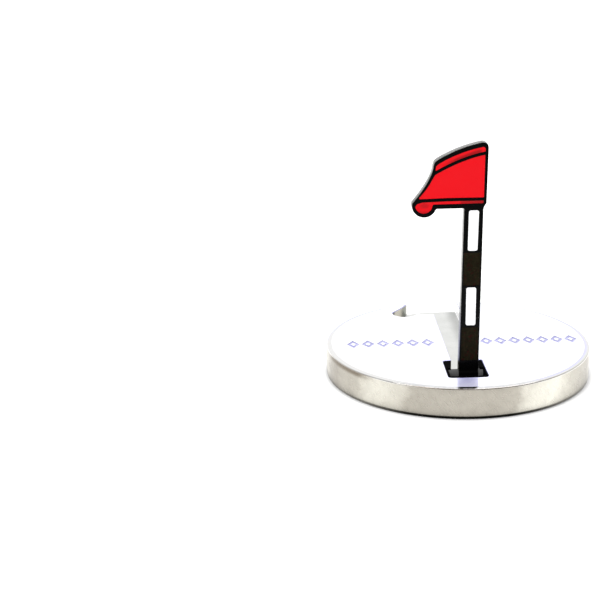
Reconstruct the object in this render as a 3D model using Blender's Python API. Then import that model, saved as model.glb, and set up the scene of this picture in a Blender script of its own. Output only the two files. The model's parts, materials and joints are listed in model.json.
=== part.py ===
"""Golf ball-marker coin with a flip-up flag.

A 40 mm polished-nickel coin. One face carries a flag-shaped pocket that runs
from a hinge recess near the front edge out through the far rim. A flat
enamelled flag turns on a cross pin and is built standing upright; it folds
back into that pocket. The other face holds a separate struck medallion in a
shallow seat, with seven black enamel sectors round a pale enamel centre.

Frame: metres, +Z up. Origin at the centre of the coin's underside (the
medallion side). +Y runs from the hinge towards the pocket's open end, so the
front is -Y. +X is to the right when looking along +Y.
All dimensions below are in millimetres and are scaled once, by MM.
"""

import math

import bmesh
import bpy
from mathutils import Vector

MM = 0.001
CUT_OVER = 1.0           # how far a cutter runs past the metal it cuts
CUT_OVER_SHORT = 0.5     # the same, for the smaller cutters
SHARP_ANGLE = 30         # degrees; steeper edges are shaded sharp

# ---------------------------------------------------------------- coin body
COIN_R = 20.0
COIN_T = 4.7             # overall thickness; also the level of the pocket face
COIN_SEG = 96            # facets round the coin and the medallion
# Edge of the pocket side: a shallow roll-off, then a tight round-over.
# Each step is (distance in from the rim, drop below the face).
ROLL_OFF = ((0.0, 0.27), (0.03, 0.14), (0.09, 0.082), (0.20, 0.056),
            (0.40, 0.030), (0.60, 0.009), (0.75, 0.0))
LIP_ROUND = 0.30         # edge rounding, medallion side
LIP_W = 0.60             # width of the lip round the medallion
SEAT_R = COIN_R - LIP_W  # radius of the medallion seat
SEAT_DEPTH = 1.75

# ------------------------------------------------------------ hinge and pin
PIN_Y = -11.23
PIN_Z = COIN_T - 0.88
PIN_R = 0.55
PIN_X0, PIN_X1 = -2.85, 2.28
PIN_CHAMFER = 0.10
PIN_SEG = 32             # facets round the pin, the knuckle and its bore
BORE_R = PIN_R + 0.05    # running clearance in the flag's knuckle
KNUCKLE_R = 0.85

RECESS_X0, RECESS_X1 = -3.27, 2.55
RECESS_Y0, RECESS_Y1 = -15.55, -8.35
RECESS_CORNER = 0.60
RECESS_TIGHT_CORNER = 0.25       # back right corner only
BRACKET_GAP = 0.04       # between the bracket and its recess
BRACKET_TOP = 0.08       # bracket sits this far below the pocket face
CHEEK_LEFT_BACK_X = -2.07        # inner face of the left cheek, at the back
CHEEK_LEFT_PIN_X = -2.48         # the same face, from the pin forwards
CHEEK_RIGHT_X = 1.78             # inner face of the right cheek
WELL_Y0 = RECESS_Y0 + 0.85       # inner face of the bracket's front wall
HOOK_Y = -11.45          # front edge of the hooks that hold the pin down
TROUGH_R = PIN_R + 0.03  # round the pin in the bracket
TROUGH_END_GAP = 0.06    # beyond each end of the pin

# ------------------------------------------------------- pocket and channel
FLOOR_Z = 2.77           # floor of the pocket, channel and recess
CHANNEL_X0, CHANNEL_X1 = -1.95, 2.50
CHANNEL_NEAR_X1 = 2.05   # right side at the hinge; it widens from there
CHANNEL_WIDE_Y = 14.0    # where it reaches full width
CHANNEL_STEP = 0.6       # the left side steps in by this much
CHANNEL_STEP_Y0, CHANNEL_STEP_Y1 = 14.4, 15.0
POCKET_CLEAR = 0.22      # clearance round the folded flag
POCKET_FOOT = 20.0       # height up the pole where the pocket starts

# --------------------------------------------------------------------- flag
# Heights on the flag are measured up from the pin axis, y from the axis.
POLE_X0, POLE_X1 = -1.36, 1.52           # pole sides at the pin
POLE_TOP_X0, POLE_TOP_X1 = -1.02, 1.76   # pole sides at the flag's lower edge
FLAG_BASE_Z = 24.91
FLAG_NOTCH_X = -4.84     # left end of the flag's straight lower edge
PLATE_BACK = 0.75
PLATE_FRONT = -0.62
FILM = 0.14              # thickness of the black raised linework
LINE_BACK = PLATE_FRONT - 0.02   # back of the linework and of the enamel
LINE_FRONT = LINE_BACK - FILM
LINE_INSET = 0.03        # linework stands in from the plate's outline
FILL = 0.10              # thickness of the coloured enamel
FOOT_Z = 0.65            # where the linework stops above the pin
CELL_GAP = 0.02          # between an enamel fill and the linework
CELL_CUT_BACK = 0.01     # cell cutters run this far behind the linework

# Outlines in (x, z). A row is a point (x, z), a curve (start, pull, end,
# steps) or an arc (centre x, centre z, radius, from degrees, to degrees, steps).
FLAG_EDGE = (
    ((1.75, 24.72), (1.82, 25.20), (2.17, 25.60), 3),      # flare off the pole
    ((2.30, 33.32), (2.33, 34.28), (1.50, 34.29), 4),      # top right corner
    ((1.30, 34.27), (-1.90, 33.66), (-4.80, 31.97), 8),    # top edge
    ((-5.02, 31.82), (-5.25, 31.64), (-5.33, 31.32), 3),   # top left corner
    ((-5.42, 31.05), (-5.50, 29.30), (-8.16, 25.98), 8),   # left edge
    (-6.62, 25.46, 1.76, 171, 338, 12),                    # lower left lobe
)
TOP_CELL = (
    (1.83, 33.42),
    ((1.62, 33.64), (-1.60, 33.09), (-4.55, 31.42), 8),
    (-5.02, 31.02),
    ((-5.12, 30.38), (-1.60, 32.38), (1.83, 33.02), 8),
)
MIDDLE_CELL = (
    ((1.79, 32.51), (-1.60, 31.85), (-5.13, 29.80), 8),
    ((-5.50, 29.20), (-6.08, 27.95), (-7.34, 26.58), 5),
    (-7.32, 26.41), (-3.4, 26.51), (1.74, 26.48),
)
BOTTOM_CELL = (
    (1.68, 25.64), (1.71, 26.00), (-3.4, 25.99), (-6.90, 25.89), (-7.62, 25.68),
    (-6.70, 25.52, 1.20, 190, 348, 9),
    (-5.46, 25.52), (-5.30, 25.61),
)
# Cells on the flag: (name, outline, colour).
FLAG_CELLS = (
    ("flag_enamel_top", TOP_CELL, (0.80, 0.012, 0.020)),
    ("flag_enamel_middle", MIDDLE_CELL, (0.84, 0.012, 0.018)),
    ("flag_enamel_bottom", BOTTOM_CELL, (0.66, 0.012, 0.020)),
)
WHITE = (0.90, 0.90, 0.90)
DARK = (0.014, 0.012, 0.006)
# Cells on the pole: (name, left and right x at the bottom, left and right x
# at the top, bottom z, top z, corner radius, colour).
POLE_CELLS = (
    ("pole_enamel_upper_white", -0.38, 0.98, -0.31, 1.10, 18.72, 24.60, 0.28, WHITE),
    ("pole_enamel_upper_dark", -0.93, 1.39, -0.87, 1.43, 13.56, 18.40, 0.12, DARK),
    ("pole_enamel_lower_white", -0.47, 0.92, -0.47, 0.92, 7.56, 13.24, 0.28, WHITE),
    ("pole_enamel_lower_dark", -1.07, 1.30, -1.00, 1.34, 2.20, 7.22, 0.12, DARK),
)

# ---------------------------------------------------------------- medallion
# Levels are z above the underside; the struck face looks down.
MED_R = 18.95
MED_FACE = 0.15          # raised metal
MED_FIELD = 0.50         # recessed field
MED_BACK = 1.60
MED_CHAMFER = 0.12
CENTRE_R0, CENTRE_R1 = 7.58, 7.84   # raised ring round the centre
FIELD_R = MED_R - 0.58   # inside of the raised outer rim
SECTORS = 7
PITCH = 360.0 / SECTORS
FIRST_SECTOR = 270.0     # middle of the first sector, degrees
DIVIDER_W = 0.28
DIVIDER_OVERLAP = 0.1    # into the ring and the rim
DIVIDER_FACE = MED_FACE + 0.01
MOTIF_FACE = MED_FACE + 0.02
STRUCK_ROOT = MED_FIELD + 0.2    # struck lines and motifs root in the metal
MOTIF_R = 12.9           # radius of the motifs' centres
ENAMEL_FACE = 0.25
ENAMEL_BACK = MED_FIELD - 0.02
ENAMEL_GAP = 0.03
ENAMEL_CUT = (MED_FACE - 0.2, MED_FIELD + 0.3)   # z range of enamel cutters
DISC_SEG = 60            # facets round the centre enamel and adhesive
GLUE_R = 18.3
GLUE_T = 0.09

# ---------------------------------------------------------------- engraving
ENGRAVE_DEPTH = 0.08
LOZENGE_HALF_W, LOZENGE_HALF_H = 0.98, 1.66
LOZENGE_LINE = 0.58      # engraved line, measured along the half width
LOZENGE_Y = -0.30
BANDS = ((-16.95, -3.55, 6), (3.50, 18.45, 7))   # x from, x to, count


# ------------------------------------------------------------ plane outlines
def polar(radius, degrees, centre_x=0.0, centre_y=0.0):
    angle = math.radians(degrees)
    return (centre_x + radius * math.cos(angle),
            centre_y + radius * math.sin(angle))


def arc(centre_x, centre_y, radius, start, end, steps):
    """Points along an arc, both ends included, angles in degrees."""
    return [polar(radius, start + (end - start) * i / steps, centre_x, centre_y)
            for i in range(steps + 1)]


def circle(centre_x, centre_y, radius, steps):
    return arc(centre_x, centre_y, radius, 0, 360, steps)[:-1]


def box(x0, x1, y0, y1):
    return [(x0, y0), (x1, y0), (x1, y1), (x0, y1)]


def bezier(start, pull, end, steps):
    """Quadratic curve from start to end, pulled towards pull."""
    points = []
    for i in range(steps + 1):
        t = i / steps
        weights = ((1 - t) ** 2, 2 * t * (1 - t), t * t)
        points.append(tuple(sum(weight * point[axis] for weight, point
                                in zip(weights, (start, pull, end)))
                            for axis in (0, 1)))
    return points


def path(rows):
    """Points of an outline table made of points, curves and arcs."""
    points = []
    for row in rows:
        if len(row) == 2:
            points.append(row)
        elif len(row) == 4:
            points += bezier(*row)
        else:
            points += arc(*row)
    return points


def rotated(points, degrees):
    cos, sin = polar(1.0, degrees)
    return [(x * cos - y * sin, x * sin + y * cos) for x, y in points]


def filleted(corners, steps=4):
    """Closed polygon from (x, y, radius) corners, each rounded by an arc."""
    points = []
    for i, (x, y, radius) in enumerate(corners):
        corner = Vector((x, y))
        to_last = (Vector(corners[i - 1][:2]) - corner).normalized()
        to_next = (Vector(corners[(i + 1) % len(corners)][:2]) - corner).normalized()
        half = to_last.angle(to_next) / 2
        reach = radius / math.tan(half)
        centre = corner + (to_last + to_next).normalized() * (radius / math.sin(half))
        start = corner + to_last * reach - centre
        end = corner + to_next * reach - centre
        start_angle = math.atan2(start.y, start.x)
        turn = math.atan2(start.x * end.y - start.y * end.x, start.dot(end))
        for k in range(steps + 1):
            angle = start_angle + turn * k / steps
            points.append((centre.x + radius * math.cos(angle),
                           centre.y + radius * math.sin(angle)))
    return points


def signed_area(points):
    return 0.5 * sum(points[i - 1][0] * points[i][1] - points[i][0] * points[i - 1][1]
                     for i in range(len(points)))


def grown(points, distance):
    """The outline moved outwards by distance (inwards when negative)."""
    mitre_limit = 1.6    # keeps sharp corners from running far out
    if signed_area(points) < 0:
        points = points[::-1]
    moved = []
    for i, point in enumerate(points):
        corner = Vector(point)
        before = (corner - Vector(points[i - 1])).normalized()
        after = (Vector(points[(i + 1) % len(points)]) - corner).normalized()
        # Sum of the outward normals of the two sides that meet here.
        normals = Vector((before.y + after.y, -before.x - after.x))
        scale = min(2.0 / max(normals.length_squared, 1e-6), mitre_limit)
        moved.append(tuple(corner + normals * (distance * scale)))
    return moved


# ------------------------------------------------------------------ solids
# Each plane: the axes of the outline's two columns, then the extrusion axis.
PLANE_AXES = {"XY": (0, 1, 2), "XZ": (0, 2, 1), "YZ": (1, 2, 0)}


def tidy(bm, merge=1e-7):
    bmesh.ops.remove_doubles(bm, verts=bm.verts, dist=merge)
    bmesh.ops.recalc_face_normals(bm, faces=bm.faces)
    return bm


def prisms(outlines, low, high, plane="XY"):
    """Closed outlines in a plane, extruded along the third axis."""
    first, second, along = PLANE_AXES[plane]
    step = Vector((0, 0, 0))
    step[along] = (high - low) * MM
    bm = bmesh.new()
    for points in outlines:
        verts = []
        for point in points:
            place = Vector((0, 0, 0))
            place[first], place[second], place[along] = point[0], point[1], low
            verts.append(bm.verts.new(place * MM))
        extruded = bmesh.ops.extrude_face_region(bm, geom=[bm.faces.new(verts)])
        far_verts = [item for item in extruded["geom"]
                     if isinstance(item, bmesh.types.BMVert)]
        bmesh.ops.translate(bm, verts=far_verts, vec=step)
    return tidy(bm)


def prism(points, low, high, plane="XY"):
    return prisms([points], low, high, plane)


def spun(profile, axis, segments):
    """Turn a profile of (x, y, z) points about an axis through the origin."""
    bm = bmesh.new()
    verts = [bm.verts.new(Vector(point) * MM) for point in profile]
    edges = [bm.edges.new(pair) for pair in zip(verts, verts[1:])]
    bmesh.ops.spin(bm, geom=verts + edges, cent=(0, 0, 0), axis=axis,
                   dvec=(0, 0, 0), angle=2 * math.pi, steps=segments,
                   use_merge=True, use_duplicate=False)
    return tidy(bm, merge=1e-6)


def lathe(profile):
    """Turn an (r, z) profile about the Z axis."""
    return spun([(r, 0, z) for r, z in profile], (0, 0, 1), COIN_SEG)


def rod(x0, x1, radius, chamfer=0.0):
    """Round bar along X, centred on the axis y = z = 0."""
    side = [(x0, radius), (x1, radius)]
    if chamfer > 0:
        side = [(x0, radius - chamfer), (x0 + chamfer, radius),
                (x1 - chamfer, radius), (x1, radius - chamfer)]
    profile = [(x0, 0.0)] + side + [(x1, 0.0)]
    return spun([(x, 0, z) for x, z in profile], (1, 0, 0), PIN_SEG)


# ----------------------------------------------------- objects and materials
def material(name, colour, metallic=0.0, roughness=0.3):
    mat = bpy.data.materials.new(name)
    mat.use_nodes = True
    shader = mat.node_tree.nodes["Principled BSDF"]
    shader.inputs["Base Color"].default_value = (*colour, 1.0)
    shader.inputs["Metallic"].default_value = metallic
    shader.inputs["Roughness"].default_value = roughness
    mat.diffuse_color = (*colour, 1.0)
    return mat


def make(name, bm, mat=None, parent=None, location=(0, 0, 0)):
    mesh = bpy.data.meshes.new(name)
    bm.to_mesh(mesh)
    bm.free()
    obj = bpy.data.objects.new(name, mesh)
    bpy.context.scene.collection.objects.link(obj)
    obj.location = Vector(location) * MM
    obj.parent = parent
    if mat is not None:
        mesh.materials.append(mat)
    mesh.shade_smooth()
    mesh.set_sharp_from_angle(angle=math.radians(SHARP_ANGLE))
    return obj


def combine(obj, helper_name, bm, operation):
    """Boolean an object with a hidden helper that shares its parent."""
    helper = make(helper_name, bm, parent=obj.parent)
    helper.hide_render = True
    helper.display_type = "WIRE"
    mod = obj.modifiers.new(operation.lower() + "_" + helper_name, "BOOLEAN")
    mod.operation = operation
    mod.object = helper
    mod.solver = "EXACT"


def cut(obj, helper_name, bm):
    combine(obj, helper_name, bm, "DIFFERENCE")


def fuse(obj, helper_name, bm):
    combine(obj, helper_name, bm, "UNION")


# ------------------------------------------------------------ shared outlines
def pole_side(low_x, top_x, z):
    """x at height z of a pole side that leans from low_x to top_x."""
    return low_x + (top_x - low_x) * z / FLAG_BASE_Z


def flag_outline(foot):
    """Whole front outline of flag and pole, down to height foot."""
    return ([(pole_side(POLE_X1, POLE_TOP_X1, foot), foot)]
            + path(FLAG_EDGE)
            + [(FLAG_NOTCH_X, FLAG_BASE_Z), (POLE_TOP_X0, FLAG_BASE_Z),
               (pole_side(POLE_X0, POLE_TOP_X0, foot), foot)])


def recess_outline(inset):
    """Hinge recess seen from above, drawn in by inset all round."""
    x0, x1 = RECESS_X0 + inset, RECESS_X1 - inset
    y0, y1 = RECESS_Y0 + inset, RECESS_Y1 - inset
    corner = RECESS_CORNER - inset
    return filleted([(x0, y0, corner), (x1, y0, corner),
                     (x1, y1, RECESS_TIGHT_CORNER - inset), (x0, y1, corner)])


# ================================================================ coin body
def lozenge_centres():
    """x of each engraved lozenge, spread evenly over the two bands."""
    centres = []
    for x0, x1, count in BANDS:
        first, last = x0 + LOZENGE_HALF_W, x1 - LOZENGE_HALF_W
        centres += [first + (last - first) * i / (count - 1) for i in range(count)]
    return centres


def add_lozenge_ring(bm, centre_x, low, high):
    """Ring-shaped cutter whose line follows a lozenge."""
    loops = []
    for inset, z in ((0, low), (0, high), (LOZENGE_LINE, high), (LOZENGE_LINE, low)):
        half_w = LOZENGE_HALF_W - inset
        half_h = LOZENGE_HALF_H - inset * LOZENGE_HALF_H / LOZENGE_HALF_W
        corners = ((centre_x - half_w, LOZENGE_Y, z), (centre_x, LOZENGE_Y - half_h, z),
                   (centre_x + half_w, LOZENGE_Y, z), (centre_x, LOZENGE_Y + half_h, z))
        loops.append([bm.verts.new(Vector(corner) * MM) for corner in corners])
    for k in range(4):
        here, there = loops[k], loops[(k + 1) % 4]
        for i in range(4):
            j = (i + 1) % 4
            bm.faces.new((here[i], here[j], there[j], there[i]))


def engraving():
    bm = bmesh.new()
    for centre_x in lozenge_centres():
        add_lozenge_ring(bm, centre_x, COIN_T - ENGRAVE_DEPTH, COIN_T + CUT_OVER_SHORT)
    return tidy(bm)


def build_coin_body():
    profile = ([(0.0, SEAT_DEPTH), (SEAT_R, SEAT_DEPTH), (SEAT_R, 0.0)]
               + arc(COIN_R - LIP_ROUND, LIP_ROUND, LIP_ROUND, -90, 0, 4)
               + [(COIN_R - inset, COIN_T - drop) for inset, drop in ROLL_OFF]
               + [(0.0, COIN_T)])
    nickel = material("polished_nickel", (0.80, 0.79, 0.76), metallic=1.0, roughness=0.16)
    coin = make("coin_body", lathe(profile), nickel)

    # The upright flag outline laid back about the pin.
    laid_back = [(x, PIN_Y + z)
                 for x, z in grown(flag_outline(POCKET_FOOT), POCKET_CLEAR)]
    channel = [(CHANNEL_X0, RECESS_Y1 - CUT_OVER),
               (CHANNEL_NEAR_X1, RECESS_Y1 - CUT_OVER),
               (CHANNEL_NEAR_X1, RECESS_Y1),
               (CHANNEL_X1, CHANNEL_WIDE_Y),
               (CHANNEL_X1, COIN_R + CUT_OVER),
               (CHANNEL_X0 + CHANNEL_STEP, COIN_R + CUT_OVER),
               (CHANNEL_X0 + CHANNEL_STEP, CHANNEL_STEP_Y1),
               (CHANNEL_X0, CHANNEL_STEP_Y0)]
    for name, outline in (("cut_pocket", laid_back), ("cut_channel", channel),
                          ("cut_recess", recess_outline(0.0))):
        cut(coin, name, prism(outline, FLOOR_Z, COIN_T + CUT_OVER))
    cut(coin, "cut_engraving", engraving())


# ============================================================ hinge and pin
def build_hinge_bracket():
    black = material("bracket_black", (0.012, 0.012, 0.013), roughness=0.40)
    bracket = make("hinge_bracket",
                   prism(recess_outline(BRACKET_GAP),
                         FLOOR_Z + BRACKET_GAP, COIN_T - BRACKET_TOP), black)

    well = [(CHEEK_LEFT_PIN_X, WELL_Y0), (CHEEK_RIGHT_X, WELL_Y0),
            (CHEEK_RIGHT_X, RECESS_Y1 + CUT_OVER),
            (CHEEK_LEFT_BACK_X, RECESS_Y1 + CUT_OVER),
            (CHEEK_LEFT_BACK_X, RECESS_Y1), (CHEEK_LEFT_PIN_X, PIN_Y - PIN_R)]
    cut(bracket, "cut_bracket_well",
        prism(well, FLOOR_Z - CUT_OVER_SHORT, COIN_T + CUT_OVER_SHORT))

    # Trough in (y, z): open from above in front of the axis, round under the hooks.
    hook_angle = math.degrees(math.acos((HOOK_Y - PIN_Y) / TROUGH_R))
    trough = ([(WELL_Y0, COIN_T + CUT_OVER_SHORT), (WELL_Y0, PIN_Z - TROUGH_R)]
              + arc(PIN_Y, PIN_Z, TROUGH_R, -90, hook_angle, 14)
              + [(HOOK_Y, COIN_T + CUT_OVER_SHORT)])
    cut(bracket, "cut_pin_trough",
        prism(trough, PIN_X0 - TROUGH_END_GAP, PIN_X1 + TROUGH_END_GAP, "YZ"))


def build_hinge_pin():
    steel = material("pin_steel", (0.46, 0.46, 0.45), metallic=1.0, roughness=0.35)
    make("hinge_pin", rod(PIN_X0, PIN_X1, PIN_R, PIN_CHAMFER), steel,
         location=(0, PIN_Y, PIN_Z))


# ===================================================================== flag
def build_hinge_axis():
    """Empty on the pin axis; turning it about X folds the flag."""
    axis = bpy.data.objects.new("flag_hinge_axis", None)
    bpy.context.scene.collection.objects.link(axis)
    axis.location = Vector((0, PIN_Y, PIN_Z)) * MM
    axis.empty_display_size = 2 * MM
    return axis


def build_flag_plate(axis):
    nickel = material("flag_nickel", (0.74, 0.73, 0.71), metallic=1.0, roughness=0.28)
    plate = make("flag_plate", prism(flag_outline(0.0), PLATE_FRONT, PLATE_BACK, "XZ"),
                 nickel, axis)
    fuse(plate, "add_knuckle", rod(POLE_X0, POLE_X1, KNUCKLE_R))
    cut(plate, "cut_bore", rod(POLE_X0 - CUT_OVER, POLE_X1 + CUT_OVER, BORE_R))


def enamel_cells():
    """(name, outline, colour) of every enamel cell on flag and pole."""
    cells = [(name, path(rows), colour) for name, rows, colour in FLAG_CELLS]
    for name, low_x0, low_x1, top_x0, top_x1, z0, z1, radius, colour in POLE_CELLS:
        corners = [(low_x0, z0, radius), (low_x1, z0, radius),
                   (top_x1, z1, radius), (top_x0, z1, radius)]
        cells.append((name, filleted(corners, steps=3), colour))
    return cells


def build_linework(axis, cells):
    lacquer = material("black_lacquer", (0.004, 0.004, 0.005), roughness=0.25)
    linework = make("flag_linework",
                    prism(grown(flag_outline(FOOT_Z), -LINE_INSET),
                          LINE_FRONT, LINE_BACK, "XZ"), lacquer, axis)
    cut(linework, "cut_cells",
        prisms([grown(outline, CELL_GAP) for _, outline, _ in cells],
               LINE_FRONT - CUT_OVER_SHORT, LINE_BACK + CELL_CUT_BACK, "XZ"))


def build_flag_enamel(axis, cells):
    for name, outline, colour in cells:
        make(name, prism(outline, LINE_BACK - FILL, LINE_BACK, "XZ"),
             material(name + "_colour", colour, roughness=0.22), axis)


# ================================================================ medallion
# The struck face is drawn as seen from below: the first coordinate runs to
# the right, along -X, and the second along +Y. Each motif is a list of
# outlines about its own centre, with its top facing outwards.
def from_below(points):
    return [(-x, y) for x, y in points]


def star():
    tip_r, notch_r = 2.7, 1.15
    return [[polar(notch_r if k % 2 else tip_r, 90 + 36 * k) for k in range(10)]]


def pine():
    return [box(-0.35, 0.35, -2.9, -2.2),
            [(-2.3, -1.9), (2.3, -1.9), (1.1, -0.5), (-1.1, -0.5)],
            [(-1.8, -0.2), (1.8, -0.2), (0.8, 1.1), (-0.8, 1.1)],
            [(-1.3, 1.4), (1.3, 1.4), (0.0, 3.1)]]


def peaks():
    return [[(-3.1, -2.0), (0.5, -2.0), (-1.3, 2.3)],
            [(0.9, -2.0), (3.3, -2.0), (2.1, 0.5)],
            circle(1.9, 2.0, 0.6, 14)]


def sun():
    rays = 8
    ray = box(1.6, 2.8, -0.22, 0.22)
    return [circle(0, 0, 1.15, 20)] + [rotated(ray, 360 / rays * k) for k in range(rays)]


def ball_on_tee():
    return [circle(0, 1.2, 1.5, 22),
            [(-1.0, -0.6), (1.0, -0.6), (0.3, -1.3), (0.14, -3.1),
             (-0.14, -3.1), (-0.3, -1.3)]]


def leaf():
    right = bezier((0.12, 3.0), (2.9, 0.8), (0.12, -1.9), 8)
    return [right, [(-x, y) for x, y in right], box(-0.16, 0.16, -3.2, -2.2)]


def waves():
    half_length, height, half_line = 2.9, 0.38, 0.24
    spacing, steps = 1.9, 14
    shapes = []
    for level in (-spacing, 0.0, spacing):
        crest = [(-half_length + 2 * half_length * i / steps,
                  level + height * math.sin(4 * math.pi * i / steps))
                 for i in range(steps + 1)]
        shapes.append([(x, y + half_line) for x, y in crest]
                      + [(x, y - half_line) for x, y in reversed(crest)])
    return shapes


def on_sector(points, angle):
    """Place a motif outline in the sector centred on angle."""
    moved_out = [(x, MOTIF_R + y) for x, y in points]
    return from_below(rotated(moved_out, angle - 90))


def sector_outline(angle):
    """Enamel of one sector, with parallel gaps beside the dividers."""
    inner, outer = CENTRE_R1 + ENAMEL_GAP, FIELD_R - ENAMEL_GAP
    side = DIVIDER_W / 2 + ENAMEL_GAP
    inner_half = PITCH / 2 - math.degrees(math.asin(side / inner))
    outer_half = PITCH / 2 - math.degrees(math.asin(side / outer))
    return from_below(arc(0, 0, outer, angle - outer_half, angle + outer_half, 12)
                      + arc(0, 0, inner, angle + inner_half, angle - inner_half, 6))


def build_medallion(sector_angles, motifs):
    profile = [
        (0.0, MED_FIELD), (CENTRE_R0, MED_FIELD), (CENTRE_R0, MED_FACE),
        (CENTRE_R1, MED_FACE), (CENTRE_R1, MED_FIELD), (FIELD_R, MED_FIELD),
        (FIELD_R, MED_FACE), (MED_R - MED_CHAMFER, MED_FACE),
        (MED_R, MED_FACE + MED_CHAMFER), (MED_R, MED_BACK), (0.0, MED_BACK)]
    nickel = material("struck_nickel", (0.78, 0.77, 0.75), metallic=1.0, roughness=0.25)
    medallion = make("medallion", lathe(profile), nickel)

    divider = box(CENTRE_R1 - DIVIDER_OVERLAP, FIELD_R + DIVIDER_OVERLAP,
                  -DIVIDER_W / 2, DIVIDER_W / 2)
    dividers = [from_below(rotated(divider, angle + PITCH / 2))
                for angle in sector_angles]
    fuse(medallion, "add_struck_lines", prisms(dividers, DIVIDER_FACE, STRUCK_ROOT))
    fuse(medallion, "add_struck_motifs",
         prisms([shape for motif in motifs for shape in motif],
                MOTIF_FACE, STRUCK_ROOT))


def cut_enamel(obj, helper_name, shapes):
    """Clear an enamel piece round the shapes that stand in it."""
    cut(obj, helper_name,
        prisms([grown(shape, ENAMEL_GAP) for shape in shapes], *ENAMEL_CUT))


def build_sector_enamel(number, angle, motif):
    name = "sector_enamel_%d" % number
    black = material(name + "_black", (0.045, 0.047, 0.052), roughness=0.30)
    enamel = make(name, prism(sector_outline(angle), ENAMEL_FACE, ENAMEL_BACK), black)
    cut_enamel(enamel, "cut_sector_%d" % number, motif)


def build_centre():
    """Pale disc with a black mast and a red pennant let into it."""
    mast = from_below(box(-0.32, 0.32, -6.9, 5.9))
    pennant = from_below([(-0.42, 5.7), (-4.6, 4.1), (-0.42, 2.7)])
    disc = make("centre_enamel",
                prism(circle(0, 0, CENTRE_R0 - ENAMEL_GAP, DISC_SEG),
                      ENAMEL_FACE, ENAMEL_BACK),
                material("centre_pale_enamel", (0.69, 0.68, 0.64), roughness=0.38))
    cut_enamel(disc, "cut_centre_art", [mast, pennant])
    make("mast_enamel", prism(mast, ENAMEL_FACE, ENAMEL_BACK),
         material("mast_black", (0.006, 0.006, 0.007), roughness=0.30))
    make("pennant_enamel", prism(pennant, ENAMEL_FACE, ENAMEL_BACK),
         material("pennant_red", (0.80, 0.015, 0.020), roughness=0.28))


def build_adhesive():
    """Film midway between the medallion's back and the floor of its seat."""
    middle = 0.5 * (MED_BACK + SEAT_DEPTH)
    make("adhesive_film",
         prism(circle(0, 0, GLUE_R, DISC_SEG), middle - GLUE_T / 2, middle + GLUE_T / 2),
         material("adhesive_film", (0.72, 0.70, 0.62), roughness=0.60))


# ==================================================================== build
for old in list(bpy.data.objects):
    bpy.data.objects.remove(old, do_unlink=True)

build_coin_body()
build_hinge_bracket()
build_hinge_pin()

hinge_axis = build_hinge_axis()
flag_cells = enamel_cells()
build_flag_plate(hinge_axis)
build_linework(hinge_axis, flag_cells)
build_flag_enamel(hinge_axis, flag_cells)

# Motifs by sector, anticlockwise as seen from below.
angles = [FIRST_SECTOR + k * PITCH for k in range(SECTORS)]
drawings = (star(), ball_on_tee(), sun(), peaks(), pine(), waves(), leaf())
placed_motifs = [[on_sector(shape, angle) for shape in drawing]
                 for drawing, angle in zip(drawings, angles)]
build_medallion(angles, placed_motifs)
for k in range(SECTORS):
    build_sector_enamel(k + 1, angles[k], placed_motifs[k])
build_centre()
build_adhesive()
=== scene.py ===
"""Looks of the flip-flag ball-marker coin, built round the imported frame.

The coin lies flat, centred on the Z axis, with its face up at COIN_T. A hinge pin runs along X
near the front (-Y). The flag stands up from it with its front towards -Y, and the pocket it
folds into runs back (+Y) and out past the rim. A medallion under the coin looks down.
Sizes are in millimetres, and MM turns them into metres.
"""
import json
import math

import bmesh
import bpy
from mathutils import Matrix, Vector


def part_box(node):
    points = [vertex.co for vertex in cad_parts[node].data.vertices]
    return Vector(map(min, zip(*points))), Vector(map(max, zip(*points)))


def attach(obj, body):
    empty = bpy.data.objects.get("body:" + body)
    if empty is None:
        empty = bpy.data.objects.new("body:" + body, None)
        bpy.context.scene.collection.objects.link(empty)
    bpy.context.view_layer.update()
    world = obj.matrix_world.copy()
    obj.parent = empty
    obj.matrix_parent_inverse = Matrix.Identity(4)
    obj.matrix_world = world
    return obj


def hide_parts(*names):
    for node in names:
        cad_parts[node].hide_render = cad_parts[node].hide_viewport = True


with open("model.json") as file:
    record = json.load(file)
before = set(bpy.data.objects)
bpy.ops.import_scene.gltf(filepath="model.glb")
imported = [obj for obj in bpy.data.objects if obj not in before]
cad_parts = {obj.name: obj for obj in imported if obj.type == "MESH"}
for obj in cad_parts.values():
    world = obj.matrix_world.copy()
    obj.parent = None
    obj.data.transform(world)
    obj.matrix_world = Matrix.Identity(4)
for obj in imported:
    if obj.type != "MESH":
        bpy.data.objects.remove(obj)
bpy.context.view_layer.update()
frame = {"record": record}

MM = 0.001


# --------------------------------------------------- sizes from the frame
def extent(piece, axis):
    """Low and high end of a frame piece along one axis."""
    return tuple(corner["xyz".index(axis)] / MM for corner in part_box(piece))


def half_span(piece, axis):
    low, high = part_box(piece)
    i = "xyz".index(axis)
    return (high[i] - low[i]) / 2 / MM


COIN_R = half_span("coin_body", "x")
COIN_T = extent("coin_body", "z")[1]
HINGE = frame["record"]["behaviour"]["joints"][0]
PIN_Y, PIN_Z = (HINGE["pos_m"][i] / MM for i in (1, 2))
PIN_X0, PIN_X1 = extent("hinge_pin", "x")
PIN_R = half_span("hinge_pin", "z")
BRACKET_X0, BRACKET_X1 = extent("hinge_bracket", "x")
BRACKET_Y0, BRACKET_Y1 = extent("hinge_bracket", "y")
BRACKET_Z0, BRACKET_Z1 = extent("hinge_bracket", "z")
MEDAL_R = half_span("medallion", "x")
MEDAL_BACK = extent("medallion", "z")[1]
# depths in the flag are Y positions measured from the pin axis
FILM_FRONT, FILM_BACK = (y - PIN_Y for y in extent("flag_linework", "y"))
FILL_BACK = extent("flag_enamel_middle", "y")[1] - PIN_Y
PLATE_FRONT = FILM_BACK + 0.02
PLATE_BACK = min(extent("flag_plate", "y")[1] - PIN_Y, 0.75)

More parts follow.
